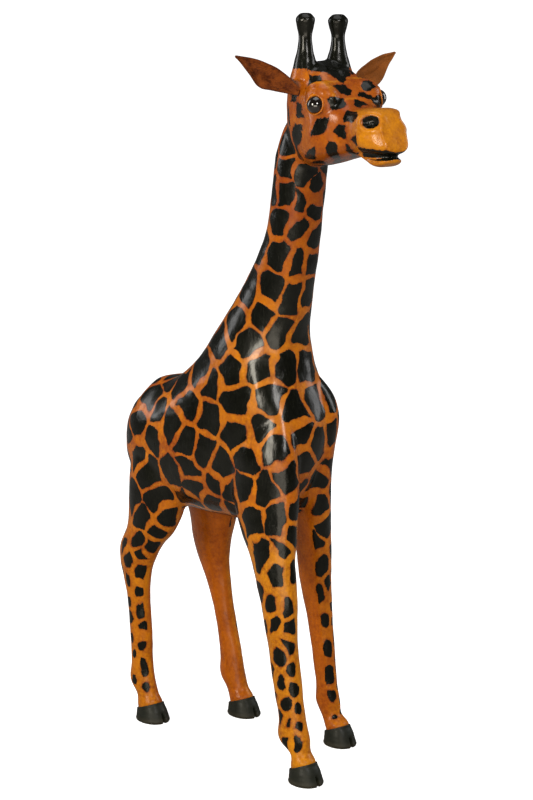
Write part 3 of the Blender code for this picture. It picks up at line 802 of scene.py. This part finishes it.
def crown_paint(head):
    """The black cap over the horns and the forehead, with a ragged brushed edge."""
    ragged = noise_at(head, 150.0, 8) * 0.0034 + noise_at(head, 420.0, 9) * 0.0022
    x, y, z = head[:, 0] + 0.006, head[:, 1], head[:, 2]
    edge_y = -0.2195 + np.where(x < 0, -1.40, 0.70) * x
    border = CROWN_FROM - 0.026 * step_up(0.040, 0.024, np.abs(head[:, 0]))
    tongue = np.minimum(0.65 * (y - edge_y), z - border)
    sides = z - CROWN_FROM + 0.008 * step_up(-0.135, -0.110, y)
    return np.maximum(tongue, sides) + ragged


def paint_hide(obj):
    """Works out the pattern for each vertex of the hide."""
    mesh = obj.data
    points, normals = get_points(mesh), get_normals(mesh)
    head = straight(points)
    head_normals = straight(normals + np.array((0, HEAD_AXIS_Y, 0))) - np.array((0, HEAD_AXIS_Y, 0))
    laid = nearest(points, laid_spots() + leg_spots())
    chosen = scattered_spots(points, normals, laid, 11)
    spot_z = points[chosen, 2]
    size = 0.0086 + 0.0225 * spot_z + 0.060 * step_up(0.34, 0.42, spot_z)
    paint = patch_distance(points, normals, chosen, size)
    z = points[:, 2]
    outer = np.sign(points[:, 0]) * normals[:, 0]
    low = step_up(0.425, 0.395, z)
    hind = step_up(0.04, 0.06, points[:, 1])
    bare = low * (hind * step_up(-0.05, -0.30, outer) + (1 - hind) * step_up(-0.72, -0.90, outer))
    paint = np.where(low > 0, np.minimum(paint, 0.02 - 0.05 * bare), paint)
    on_head = step_up(1.000, 1.008, z) * step_up(-0.150, -0.156, head[:, 1] - 0.35 * (head[:, 2] - 1.0))
    on_head = np.maximum(on_head, step_up(1.100, 1.104, z))
    paint = np.where(on_head > 0.5, head_paint(head, head_normals), paint)
    muzzle = step_up(-0.298, -0.306, head[:, 1])
    paint = paint - 0.05 * muzzle * (z > 0.97)
    paint = np.where(z > 1.08, np.maximum(paint, crown_paint(head)), paint)
    paint = np.maximum(paint, (0.84 - from_nostril(head)) * 0.010)
    paint = np.maximum(paint, mouth_lining(head, normals))
    d = from_eye(head)
    gap = np.linalg.norm(d, axis=1)
    paint = np.maximum(paint, EYE_RADIUS - gap)
    fore = step_up(-0.02, -0.05, points[:, 1])
    leg = step_up(0.46, 0.34, z)
    right_leg = (points[:, 0] < 0) * leg
    legs = right_leg * (0.95 * fore + 0.45 * (1 - fore)) + 0.18 * (1 - right_leg) * leg
    attribute(mesh, "paint", paint)
    attribute(mesh, "bare", bare)
    blotch = 0.006 * noise_at(head, 60.0, 12)
    yellow = step_up(-0.262, -0.306, head[:, 1] + blotch) * step_up(0.97, 0.99, z)
    # painted highlight: a thin yellow line along the edge of the dome over each eye, standing in for the
    # light caught by that ridge
    painted_brow_highlight = 0.7 * bell(from_brow(d), 0.0282, 0.0015) * step_up(0.004, 0.012, d[:, 2])
    yellow = np.maximum(0.84 * yellow, painted_brow_highlight)
    yellow = np.maximum(yellow, 0.55 * near(points, SHOULDER, (0.09, 0.11, 0.15)))
    attribute(mesh, "tint_and_painted_highlight", np.clip(yellow + legs * (1 + 0.6 * noise_at(points, 14.0, 13)), 0, 1))


# ---- Materials ---------------------------------------------------------------------------------------


class Look:
    """The nodes of a material or world. Where a value is wanted, another node's output can be given."""

    def __init__(self, made, main="Principled BSDF"):
        made.use_nodes = True
        self.made, self.tree = made, made.node_tree
        self.main = self.tree.nodes[main]

    def put(self, socket, value):
        """Links a socket to another node's output, or sets its value."""
        if isinstance(value, bpy.types.NodeSocket):
            self.tree.links.new(value, socket)
        else:
            socket.default_value = (*value, 1) if socket.type == "RGBA" else value

    def set(self, name, value):
        self.put(self.main.inputs[name], value)

    def node(self, kind, output, values, **options):
        """Adds a node and gives one of its outputs."""
        made = self.tree.nodes.new("ShaderNode" + kind)
        for name, value in options.items():
            setattr(made, name, value)
        for name, value in values.items():
            self.put(made.inputs[name], value)
        return made.outputs[output]

    def calc(self, operation, a, b):
        return self.node("Math", 0, {0: a, 1: b}, operation=operation)

    def blend(self, share, a, b, mode="MIX"):
        return self.node("Mix", 2, {0: share, 6: a, 7: b}, data_type="RGBA", blend_type=mode)

    def rescale(self, value, low, high, new_low=0.0, new_high=1.0, curve="LINEAR"):
        values = dict(enumerate((value, low, high, new_low, new_high)))
        return self.node("MapRange", 0, values, interpolation_type=curve)

    def place(self, scale=(1, 1, 1), turn=(0, 0, 0)):
        """Object coordinates in metres, scaled and turned."""
        where = self.node("TexCoord", "Object", {})
        return self.node("Mapping", 0, {"Vector": where, "Scale": scale, "Rotation": turn})

    def height(self):
        return self.node("SeparateXYZ", 2, {0: self.place()})

    def grain(self, where, scale, detail=4.0, rough=0.55, twist=0.0):
        values = {"Vector": where, "Scale": scale, "Detail": detail, "Roughness": rough, "Distortion": twist}
        return self.node("TexNoise", 0, values)

    def cells(self, where, scale, feature="DISTANCE_TO_EDGE"):
        return self.node("TexVoronoi", "Distance", {"Vector": where, "Scale": scale}, feature=feature)

    def stored(self, name):
        return self.node("Attribute", "Fac", {}, attribute_name=name)

    def bump(self, *heights):
        """Chains bumps: (height, strength, distance in metres)."""
        values = {}
        for height, strength, distance in heights:
            values.update({"Height": height, "Strength": strength, "Distance": distance})
            values["Normal"] = self.node("Bump", 0, values)
        self.set("Normal", values["Normal"])

    def lacquer(self, weight, roughness):
        self.set("Coat Weight", weight)
        self.set("Coat Roughness", roughness)


def hide_material(whole_orange=False):
    """Dyed orange goat leather with patches of glossy black-green paint, under worn lacquer."""
    look = Look(bpy.data.materials.new("tail_leather" if whole_orange else "painted_leather"))
    where = look.place()
    long_strokes = look.place((1, 1, 0.22), (0.15, 0.0, 0.3))
    cloudy = look.grain(where, 9.0, 6.0, 0.6)
    mottled = look.grain(where, 60.0, 6.0, 0.65)
    fine = look.grain(where, 420.0, 3.0, 0.6)
    streaks = look.grain(long_strokes, 330.0, 5.0, 0.7)
    orange = look.blend(look.rescale(cloudy, 0.35, 0.68), (0.44, 0.098, 0.002), (0.68, 0.215, 0.004))
    orange = look.blend(look.rescale(mottled, 0.42, 0.72, 0.0, 0.75), orange, (0.30, 0.052, 0.002))
    # painted shade: the orange darkens from the middle of the neck upward over the head, standing in for the
    # lower light up there
    painted_shade_by_height = look.blend(look.rescale(look.height(), 0.72, 0.90), (1.0, 1.0, 1.0), (0.82, 0.74, 0.75))
    orange = look.blend(1.0, orange, painted_shade_by_height, "MULTIPLY")
    if whole_orange:
        edge, bare, tint_and_painted_highlight = -0.01, 0.4, 0.0
    else:
        edge, bare, tint_and_painted_highlight = look.stored("paint"), look.stored("bare"), look.stored("tint_and_painted_highlight")
    # the stored tint turns the orange yellower; along each brow it is a painted highlight
    orange = look.blend(tint_and_painted_highlight, orange, look.blend(mottled, (0.74, 0.300, 0.005), (0.58, 0.195, 0.004)))
    orange = look.blend(look.calc("MULTIPLY", bare, 0.75), orange, (0.47, 0.108, 0.004))
    ragged = look.calc("MULTIPLY", look.calc("SUBTRACT", look.grain(where, 190.0, 4.0, 0.6), 0.5), 0.0042)
    hairs = look.calc("MULTIPLY", look.calc("SUBTRACT", streaks, 0.5), 0.0016)
    border = look.calc("ADD", look.calc("ADD", edge, ragged), hairs)
    mask = look.rescale(border, -0.00035, 0.00045, curve="SMOOTHSTEP")
    uneven = look.rescale(look.grain(where, 24.0, 3.0, 0.5), 0.38, 0.62, 0.45, 1.0)
    stain = look.rescale(border, -0.0042, 0.0002, 0.0, 0.95, curve="SMOOTHSTEP")
    stain = look.calc("MULTIPLY", stain, uneven)
    orange = look.blend(stain, orange, (0.16, 0.022, 0.002))
    pores = look.rescale(look.cells(where, 330.0, "F1"), 0.0, 0.25, 0.72, 1.0)
    orange = look.blend(1.0, orange, pores, "MULTIPLY")
    black = look.blend(look.rescale(streaks, 0.35, 0.7), (0.0018, 0.0019, 0.0009), (0.0050, 0.0054, 0.0026))
    black = look.blend(look.rescale(cloudy, 0.5, 0.75, 0.0, 0.6), black, (0.0080, 0.0086, 0.0045))
    thin = look.rescale(fine, 0.70, 0.86, 0.0, 0.35)
    black = look.blend(thin, black, (0.10, 0.035, 0.008))
    look.set("Base Color", look.blend(mask, orange, black))
    dull = look.rescale(mottled, 0.3, 0.8, 0.22, 0.40)
    wet = look.rescale(streaks, 0.3, 0.7, 0.15, 0.30)
    look.set("Roughness", look.node("Mix", 0, {0: mask, 2: dull, 3: wet}))
    look.set("Specular IOR Level", 0.19)
    worn = look.rescale(look.height(), 0.20, 0.50, 0.15, 1.0)
    coat = look.calc("MULTIPLY", look.rescale(cloudy, 0.35, 0.7, 0.12, 0.42), worn)
    look.lacquer(coat, look.rescale(mottled, 0.3, 0.8, 0.10, 0.22))
    wrinkle = look.grain(look.place((1.0, 1.0, 0.55)), 46.0, 5.0, 0.62, 0.6)
    creases = look.cells(look.place((1.0, 1.0, 0.6)), 58.0)
    creases = look.rescale(creases, 0.0, 0.05)
    folds = (wrinkle, 0.40, 0.0030), (creases, 0.08, 0.0010)
    look.bump(*folds, (mask, 0.50, 0.0004), (streaks, 0.14, 0.0004), (fine, 0.16, 0.0003))
    return look.made


def ear_material(name, painted_light_share):
    """Brown suede, fibrous along the ear and darker towards its edges. The second argument blends in a
    lighter brown as painted light, for the ear whose face catches the light.
    """
    look = Look(bpy.data.materials.new(name))
    where = look.place()
    cloudy = look.grain(where, 55.0, 5.0, 0.6)
    fibres = look.grain(look.place((0.35, 1.0, 1.0), (0.0, 0.5, 0.0)), 620.0, 5.0, 0.75)
    veins = look.grain(look.place((0.5, 1.0, 1.2), (0.0, 0.5, 0.0)), 150.0, 4.0, 0.6, 1.2)
    edge = look.stored("edge")
    brown = look.blend(look.rescale(cloudy, 0.35, 0.65), (0.052, 0.008, 0.001), (0.185, 0.042, 0.004))
    brown = look.blend(look.rescale(fibres, 0.45, 0.75, 0.0, 0.7), brown, (0.24, 0.062, 0.006))
    brown = look.blend(look.rescale(veins, 0.52, 0.66, 0.0, 0.6), brown, (0.030, 0.005, 0.001))
    brown = look.blend(look.rescale(edge, 0.0, 0.16, 0.75, 0.0), brown, (0.050, 0.012, 0.005))
    # painted light: a lighter brown for the ear whose face catches the light
    brown = look.blend(painted_light_share, brown, (0.36, 0.120, 0.020))
    look.set("Base Color", brown)
    look.set("Roughness", look.rescale(fibres, 0.3, 0.7, 0.62, 0.85))
    look.set("Specular IOR Level", 0.12)
    look.bump((veins, 0.5, 0.0012), (fibres, 0.6, 0.0006), (cloudy, 0.4, 0.002))
    return look.made


def hoof_material():
    """Thick black-green paint over wood, scuffed along the toe and dusty near the floor."""
    look = Look(bpy.data.materials.new("hoof_lacquer"))
    where = look.place()
    rings = look.grain(look.place((0.25, 0.25, 1.0)), 300.0, 4.0, 0.6)
    cloudy = look.grain(where, 90.0, 5.0, 0.65)
    fine = look.grain(where, 520.0, 4.0, 0.7)
    dust = look.calc("MULTIPLY", look.rescale(look.height(), 0.012, 0.0, 0.0, 0.8), cloudy)
    colour = look.blend(cloudy, (0.004, 0.005, 0.0025), (0.014, 0.016, 0.009))
    colour = look.blend(look.rescale(rings, 0.55, 0.75, 0.0, 0.5), colour, (0.018, 0.020, 0.011))
    colour = look.blend(dust, colour, (0.06, 0.048, 0.028))
    chips = look.rescale(fine, 0.74, 0.80, 0.0, 0.7)
    colour = look.blend(chips, colour, (0.24, 0.13, 0.06))
    look.set("Base Color", colour)
    look.set("Roughness", look.rescale(cloudy, 0.3, 0.7, 0.42, 0.62))
    look.set("Specular IOR Level", 0.3)
    look.lacquer(0.06, 0.25)
    look.bump((rings, 0.12, 0.0006), (cloudy, 0.25, 0.0012), (fine, 0.2, 0.0003))
    return look.made


def glass_material():
    """Black glass eye: a very dark brown iris behind a clear, wet surface."""
    look = Look(bpy.data.materials.new("eye_glass"))
    where = look.place()
    fleck = look.grain(where, 600.0, 3.0, 0.6)
    colour = look.blend(fleck, (0.002, 0.0016, 0.0014), (0.009, 0.0045, 0.0025))
    look.set("Base Color", colour)
    look.set("Roughness", look.rescale(fleck, 0.2, 0.8, 0.035, 0.07))
    look.set("IOR", 1.52)
    look.lacquer(1.0, 0.02)
    return look.made


def tuft_material():
    """Black dyed leather strips of the tail's tuft."""
    look = Look(bpy.data.materials.new("tuft_strips"))
    strands = look.grain(look.place((1.0, 1.0, 0.08)), 900.0, 4.0, 0.7)
    colour = look.blend(strands, (0.006, 0.006, 0.005), (0.030, 0.026, 0.018))
    look.set("Base Color", colour)
    look.set("Roughness", look.rescale(strands, 0.3, 0.7, 0.35, 0.6))
    look.bump((strands, 0.6, 0.0005))
    return look.made


def steel_material():
    """Bent mild-steel rod: drawn marks along it, and light rust."""
    look = Look(bpy.data.materials.new("armature_rod"))
    drawn = look.grain(look.place((1.0, 1.0, 0.04)), 1500.0, 4.0, 0.7)
    rust = look.grain(look.place(), 70.0, 6.0, 0.7)
    spotted = look.rescale(rust, 0.54, 0.64)
    colour = look.blend(drawn, (0.30, 0.29, 0.28), (0.48, 0.47, 0.45))
    colour = look.blend(spotted, colour, (0.20, 0.07, 0.025))
    look.set("Base Color", colour)
    look.set("Metallic", look.rescale(spotted, 0.0, 1.0, 1.0, 0.1))
    look.set("Roughness", look.rescale(spotted, 0.0, 1.0, 0.35, 0.85))
    look.bump((drawn, 0.3, 0.0002), (rust, 0.4, 0.0004))
    return look.made


# ---- Small pieces ------------------------------------------------------------------------------------


def finished(obj, material, slot, *nodes):
    """Moves a piece over to the CAD's origin, and hides the CAD nodes that it stands for."""
    mesh = obj.data
    set_points(mesh, get_points(mesh) + np.array(shift))
    mesh.materials.clear()
    mesh.materials.append(material)
    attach(obj, "root")
    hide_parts(*nodes)


def build_eye(name, side, material):
    """A glass ball with a slightly bulging front."""
    axis = Vector((side * 0.84, -0.50, 0.20)).normalized()
    bm = bmesh.new()
    bmesh.ops.create_uvsphere(bm, u_segments=56, v_segments=36, radius=EYE_RADIUS)
    for v in bm.verts:
        front = max(0.0, axis.dot(v.co) / EYE_RADIUS)
        v.co *= 1 + 0.035 * front**3
        v.co = Vector(turned(np.array(v.co) + EYES[side]))
    mesh = bpy.data.meshes.new(name + "_glass")
    bm.to_mesh(mesh)
    bm.free()
    mesh.shade_smooth()
    finished(linked(name + "_glass", mesh), material, "eye_glass", name)


def build_lid(name, side, material):
    """A rolled strip of leather round the eye, thicker and folded at the top."""
    axis = Vector((side * 0.90, -0.42, 0.12)).normalized()
    centre = Vector(EYES[side]) + axis * 0.0042
    up = (Vector((0, 0, 1)) - axis * axis.z).normalized()
    across = up.cross(axis)
    points = []
    around, tube = 96, 18
    for i in range(around):
        turn = 2 * math.pi * i / around
        out = up * math.cos(turn) + across * math.sin(turn)
        top = (0.5 + 0.5 * math.cos(turn)) ** 2
        thick = 0.0011 + 0.0006 * top + 0.00012 * math.sin(turn * 9) + 0.00008 * math.sin(turn * 23)
        middle = centre + out * (0.0134 + thick) - axis * 0.0008 * top
        for k in range(tube):
            a = 2 * math.pi * k / tube
            fold = 1 + 0.10 * math.cos(3 * a) * top
            points.append(turned(middle + thick * fold * (out * math.cos(a) + axis * math.sin(a))))
    obj = outward(make_object(name + "_roll", points, quads(around, tube, ring_of_rings=True)))
    for key, value in (("paint", -0.006), ("bare", 0.0), ("tint_and_painted_highlight", 0.12)):
        attribute(obj.data, key, np.full(len(points), value))
    finished(obj, material, "painted_hide", name)


def build_ear(name, side, material):
    """A pointed leaf of suede, hollowed, with a curled edge and a crease along its middle."""
    table = np.array(EAR, float)
    root, along = Vector(EAR_ROOT), Vector(EAR_ALONG[name]).normalized()
    up = Vector(EAR_UP)
    up = (up - along * up.dot(along)).normalized()
    length, across = 46, 22
    places = table[0, 0] + (table[-1, 0] - table[0, 0]) * np.arange(length) / (length - 1)
    points, edge = [], []
    for i, (at, upper, lower, hollow) in enumerate(along_curve(table, table[:, 0], places)):
        done = i / (length - 1)
        for j in range(across):
            share = j / (across - 1)
            bow = 1 - (2 * share - 1) ** 2
            crease = 0.0016 * math.exp(-(((share - 0.55) / 0.07) ** 2)) * math.sin(math.pi * done)
            wave = 0.0007 * math.sin(i * 0.55 + j * 0.35) + 0.0005 * math.sin(i * 0.21 - j * 0.8)
            p = root + along * at + up * (upper + (lower - upper) * share)
            back = max(hollow, 0.0) * bow + crease + wave
            points.append(turned((side * p.x, p.y + back, p.z)))
            edge.append(min(share, 1 - share, 1 - done) * 2)
    obj = make_object(name + "_leaf", points, quads(length, across, rings=False))
    attribute(obj.data, "edge", np.array(edge))
    thicken = obj.modifiers.new("thickness", "SOLIDIFY")
    thicken.thickness = 0.0019
    thicken.offset = 0
    finer = obj.modifiers.new("finer", "SUBSURF")
    finer.levels = finer.render_levels = 1
    finished(applied(obj), material, "ear_hide", name)


def build_hoof(name, side, rows, material):
    """A cloven hoof with a slanted, rolled top edge, a flat sole and faint growth rings."""
    front_y, front_z, back_y, back_z, half, offset = rows[-1]
    table = [
        (front_y + 0.002, front_z + 0.0010, back_y - 0.002, back_z - 0.0040, half - 0.002, offset),
        (front_y - 0.0012, front_z + 0.0030, back_y + 0.001, back_z - 0.0020, half + 0.0010, offset),
        (front_y - 0.003, front_z - 0.0010, back_y + 0.0018, back_z - 0.0045, half + 0.0020, offset),
        (front_y - 0.007, front_z - 0.0070, back_y + 0.002, back_z - 0.0075, half + 0.0030, offset),
        (front_y - 0.013, 0.011, back_y + 0.002, 0.007, half + 0.0052, offset),
        (front_y - 0.0158, 0.0022, back_y + 0.003, 0.0018, half + 0.0058, offset),
        (front_y - 0.0145, 0.0, back_y + 0.0022, 0.0, half + 0.0048, offset),
    ]
    rings = loft(table, 112, 2.2, side, 0.0011)
    rings[:, :, 2] = np.maximum(rings[:, :, 2], 0.0)
    toe = front_y - 0.016
    from_cleft = np.abs(rings[:, :, 0] - side * offset)
    depth = 0.013 * np.clip(1 - from_cleft / 0.0030, 0, 1) ** 0.8
    front = step_up(toe + 0.030, toe + 0.010, rings[:, :, 1])
    low = step_up(0.021, 0.008, rings[:, :, 2])
    rings[:, :, 1] += depth * front * low
    out = rings - rings.mean(1)[:, None, :]
    out[:, :, 2] = 0
    out /= np.linalg.norm(out, axis=2)[:, :, None].clip(1e-6)
    growth_rings = 0.000075 * np.sin(rings[:, :, 2] * 700) * (rings[:, :, 2] > 0.003)
    rings += out * growth_rings[:, :, None]
    obj = outward(make_object(name + "_horn", *closed_loft(rings)))
    obj.data.set_sharp_from_angle(angle=math.radians(50))
    finished(obj, material, "hoof_paint", name)


def build_tail(material):
    """A thin leather-covered tail, wound with a strip."""
    rings = domed(loft(TAIL, 28, 2.0, 0, 0.0012), (0.001, 0.001))
    out = rings - rings.mean(1)[:, None, :]
    out /= np.linalg.norm(out, axis=2)[:, :, None].clip(1e-6)
    turn = np.arctan2(out[:, :, 0], out[:, :, 1])
    wound = np.abs(np.sin(rings[:, :, 2] * 420 + turn * 0.5)) ** 0.5
    rings = rings + out * (0.0006 * wound - 0.0004)[:, :, None]
    tail = outward(make_object("tail_wound", *closed_loft(rings)))
    finished(tail, material, "painted_hide", "tail_skin", "tail_core")


def tuft_strip(start, turn, rng):
    """Rings of one strip of the tuft: four corners each, narrowing towards its end."""
    drop = rng.uniform(0.052, 0.083)
    spread = rng.uniform(0.6, 1.25)
    width = rng.uniform(0.0009, 0.0016)
    twist = rng.uniform(-1.2, 1.2)
    phase = rng.uniform(0, 6.28)
    rings = []
    for i in range(15):
        t = i / 14
        belly = math.sin(math.pi * min(1.0, t * 1.15)) * 0.0052 * spread
        radius = start * (1 - 0.35 * t) + belly
        x = math.cos(turn) * radius + 0.0008 * math.sin(phase + 7 * t)
        y = 0.3025 + math.sin(turn) * radius + 0.0008 * math.cos(phase + 6 * t)
        middle = np.array((x, y, 0.4215 - drop * t))
        a = turn + math.pi / 2 + twist * t
        across = np.array((math.cos(a), math.sin(a), 0)) * width * (1 - 0.75 * t)
        thick = np.array((-math.sin(a), math.cos(a), 0)) * 0.0004 * (1 - 0.6 * t)
        rings.append([middle - across, middle + thick, middle + across, middle - thick])
    return np.array(rings)


def build_tuft(material):
    """The tuft of black leather strips, spread over the tail's end like seeds in a sunflower."""
    rng = np.random.RandomState(4)
    strips = 84
    points, faces = [], []
    for strip in range(strips):
        start = 0.0058 * math.sqrt((strip + 0.5) / strips)
        some, between = closed_loft(tuft_strip(start, strip * GOLDEN_ANGLE, rng), len(points))
        points += list(some)
        faces += between
    finished(outward(make_object("tail_strips", points, faces)), material, "black_hide", "tail_tuft")


# ---- Stage -------------------------------------------------------------------------------------------


def direction(azimuth, elevation):
    """From the object towards a light: azimuth 0 is in front of the giraffe, 90 is to its left."""
    a, e = math.radians(azimuth), math.radians(elevation)
    return Vector((math.sin(a) * math.cos(e), -math.cos(a) * math.cos(e), math.sin(e)))


def softbox(name, azimuth, elevation, distance, width, height, power, middle=0.65, colour=(1, 1, 1)):
    data = bpy.data.lights.new(name, "AREA")
    data.shape = "RECTANGLE"
    data.size, data.size_y, data.energy = width, height, power
    data.color = colour
    obj = linked(name, data)
    back = direction(azimuth, elevation)
    obj.location = Vector((0, 0, middle)) + back * distance
    obj.rotation_mode = "QUATERNION"
    obj.rotation_quaternion = (-back).to_track_quat("-Z", "Y")


def build_floor():
    """A plain white floor out to the horizon, which the camera sees brighter than the object does."""
    look = Look(bpy.data.materials.new("pale_floor"))
    seen = look.node("LightPath", "Is Camera Ray", {})
    cloudy = look.grain(look.place(), 3.0, 4.0, 0.5)
    pale = look.blend(cloudy, (0.86, 0.86, 0.86), (0.90, 0.90, 0.90))
    look.set("Base Color", look.blend(seen, (0.26, 0.25, 0.24), pale))
    look.set("Roughness", 0.9)
    look.set("Specular IOR Level", 0.0)
    look.set("Emission Color", (1.0, 1.0, 1.0))
    look.set("Emission Strength", look.calc("MULTIPLY", seen, 0.70))
    reach = 90.0
    corners = [(-reach, -reach, 0), (reach, -reach, 0), (reach, reach, 0), (-reach, reach, 0)]
    floor = make_object("floor", corners, [(0, 1, 2, 3)])
    floor.data.materials.append(look.made)


def build_world():
    """White for the camera, a softer white for light, and dimmer in reflections."""
    world = bpy.data.worlds.new("studio")
    bpy.context.scene.world = world
    look = Look(world, "Background")
    glossy = look.node("LightPath", "Is Glossy Ray", {})
    seen = look.node("LightPath", "Is Camera Ray", {})
    look.set("Color", (1, 1, 1))
    look.set("Strength", look.calc("MAXIMUM", look.rescale(glossy, 0.0, 1.0, 0.54, 0.065), seen))


def build_stage():
    build_floor()
    build_world()
    softbox("key", -86, 17, 3.4, 0.8, 1.2, 56, 0.60, (1.0, 0.93, 0.78))
    softbox("front", -24, 29, 3.6, 0.8, 0.8, 36, 0.60, (1.0, 0.97, 0.93))
    softbox("low", -48, 6, 3.2, 2.4, 0.9, 27, 0.20, (1.0, 0.90, 0.74))
    softbox("left_rim", -152, 24, 2.6, 0.7, 1.8, 14)
    softbox("right_rim", 62, 20, 2.6, 0.7, 1.8, 15)
    softbox("top", 0, 88, 2.8, 1.8, 1.8, 16)
    data = bpy.data.cameras.new("camera")
    data.lens, data.sensor_width = 102.5, 36
    camera = linked("camera", data)
    camera.location = Vector(CAMERA) + shift
    right = Vector((0.730, -0.683, 0)).normalized()
    ahead = Vector((0.6696, 0.7154, -0.1994)).normalized()
    up = right.cross(ahead)
    camera.rotation_mode = "QUATERNION"
    camera.rotation_quaternion = Matrix((right, up, -ahead)).transposed().to_quaternion()
    bpy.context.scene.camera = camera
    bpy.context.scene.view_settings.view_transform = "Standard"


def main():
    leather = hide_material()
    hide = build_hide()
    paint_hide(hide)
    replaced = ["torso_skin_right", "torso_skin_left", "torso_core"]
    for name in ["neck", "head", "jaw", "right_horn", "left_horn"] + [leg + "_leg" for leg in LEGS]:
        replaced += [name + "_skin", name + "_core"]
    finished(hide, leather, "painted_hide", *replaced)
    glass, hoof = glass_material(), hoof_material()
    # the left ear gets the lighter brown as painted light
    suede = {-1: ear_material("ear_suede", 0.0), 1: ear_material("lit_ear_suede", 0.45)}
    for name, side in (("right", -1), ("left", 1)):
        build_eye(name + "_eye", side, glass)
        build_lid(name + "_eyelid", side, leather)
        build_ear(name + "_ear", side, suede[side])
    for name, (side, rows) in LEGS.items():
        build_hoof(name + "_hoof", side, rows, hoof)
    build_tail(hide_material(True))
    build_tuft(tuft_material())
    steel = steel_material()
    for name in ["spine_rod"] + [leg + "_leg_rod" for leg in LEGS]:
        rod = frame["nodes"][name].data
        rod.materials.clear()
        rod.materials.append(steel)
    build_stage()


main()
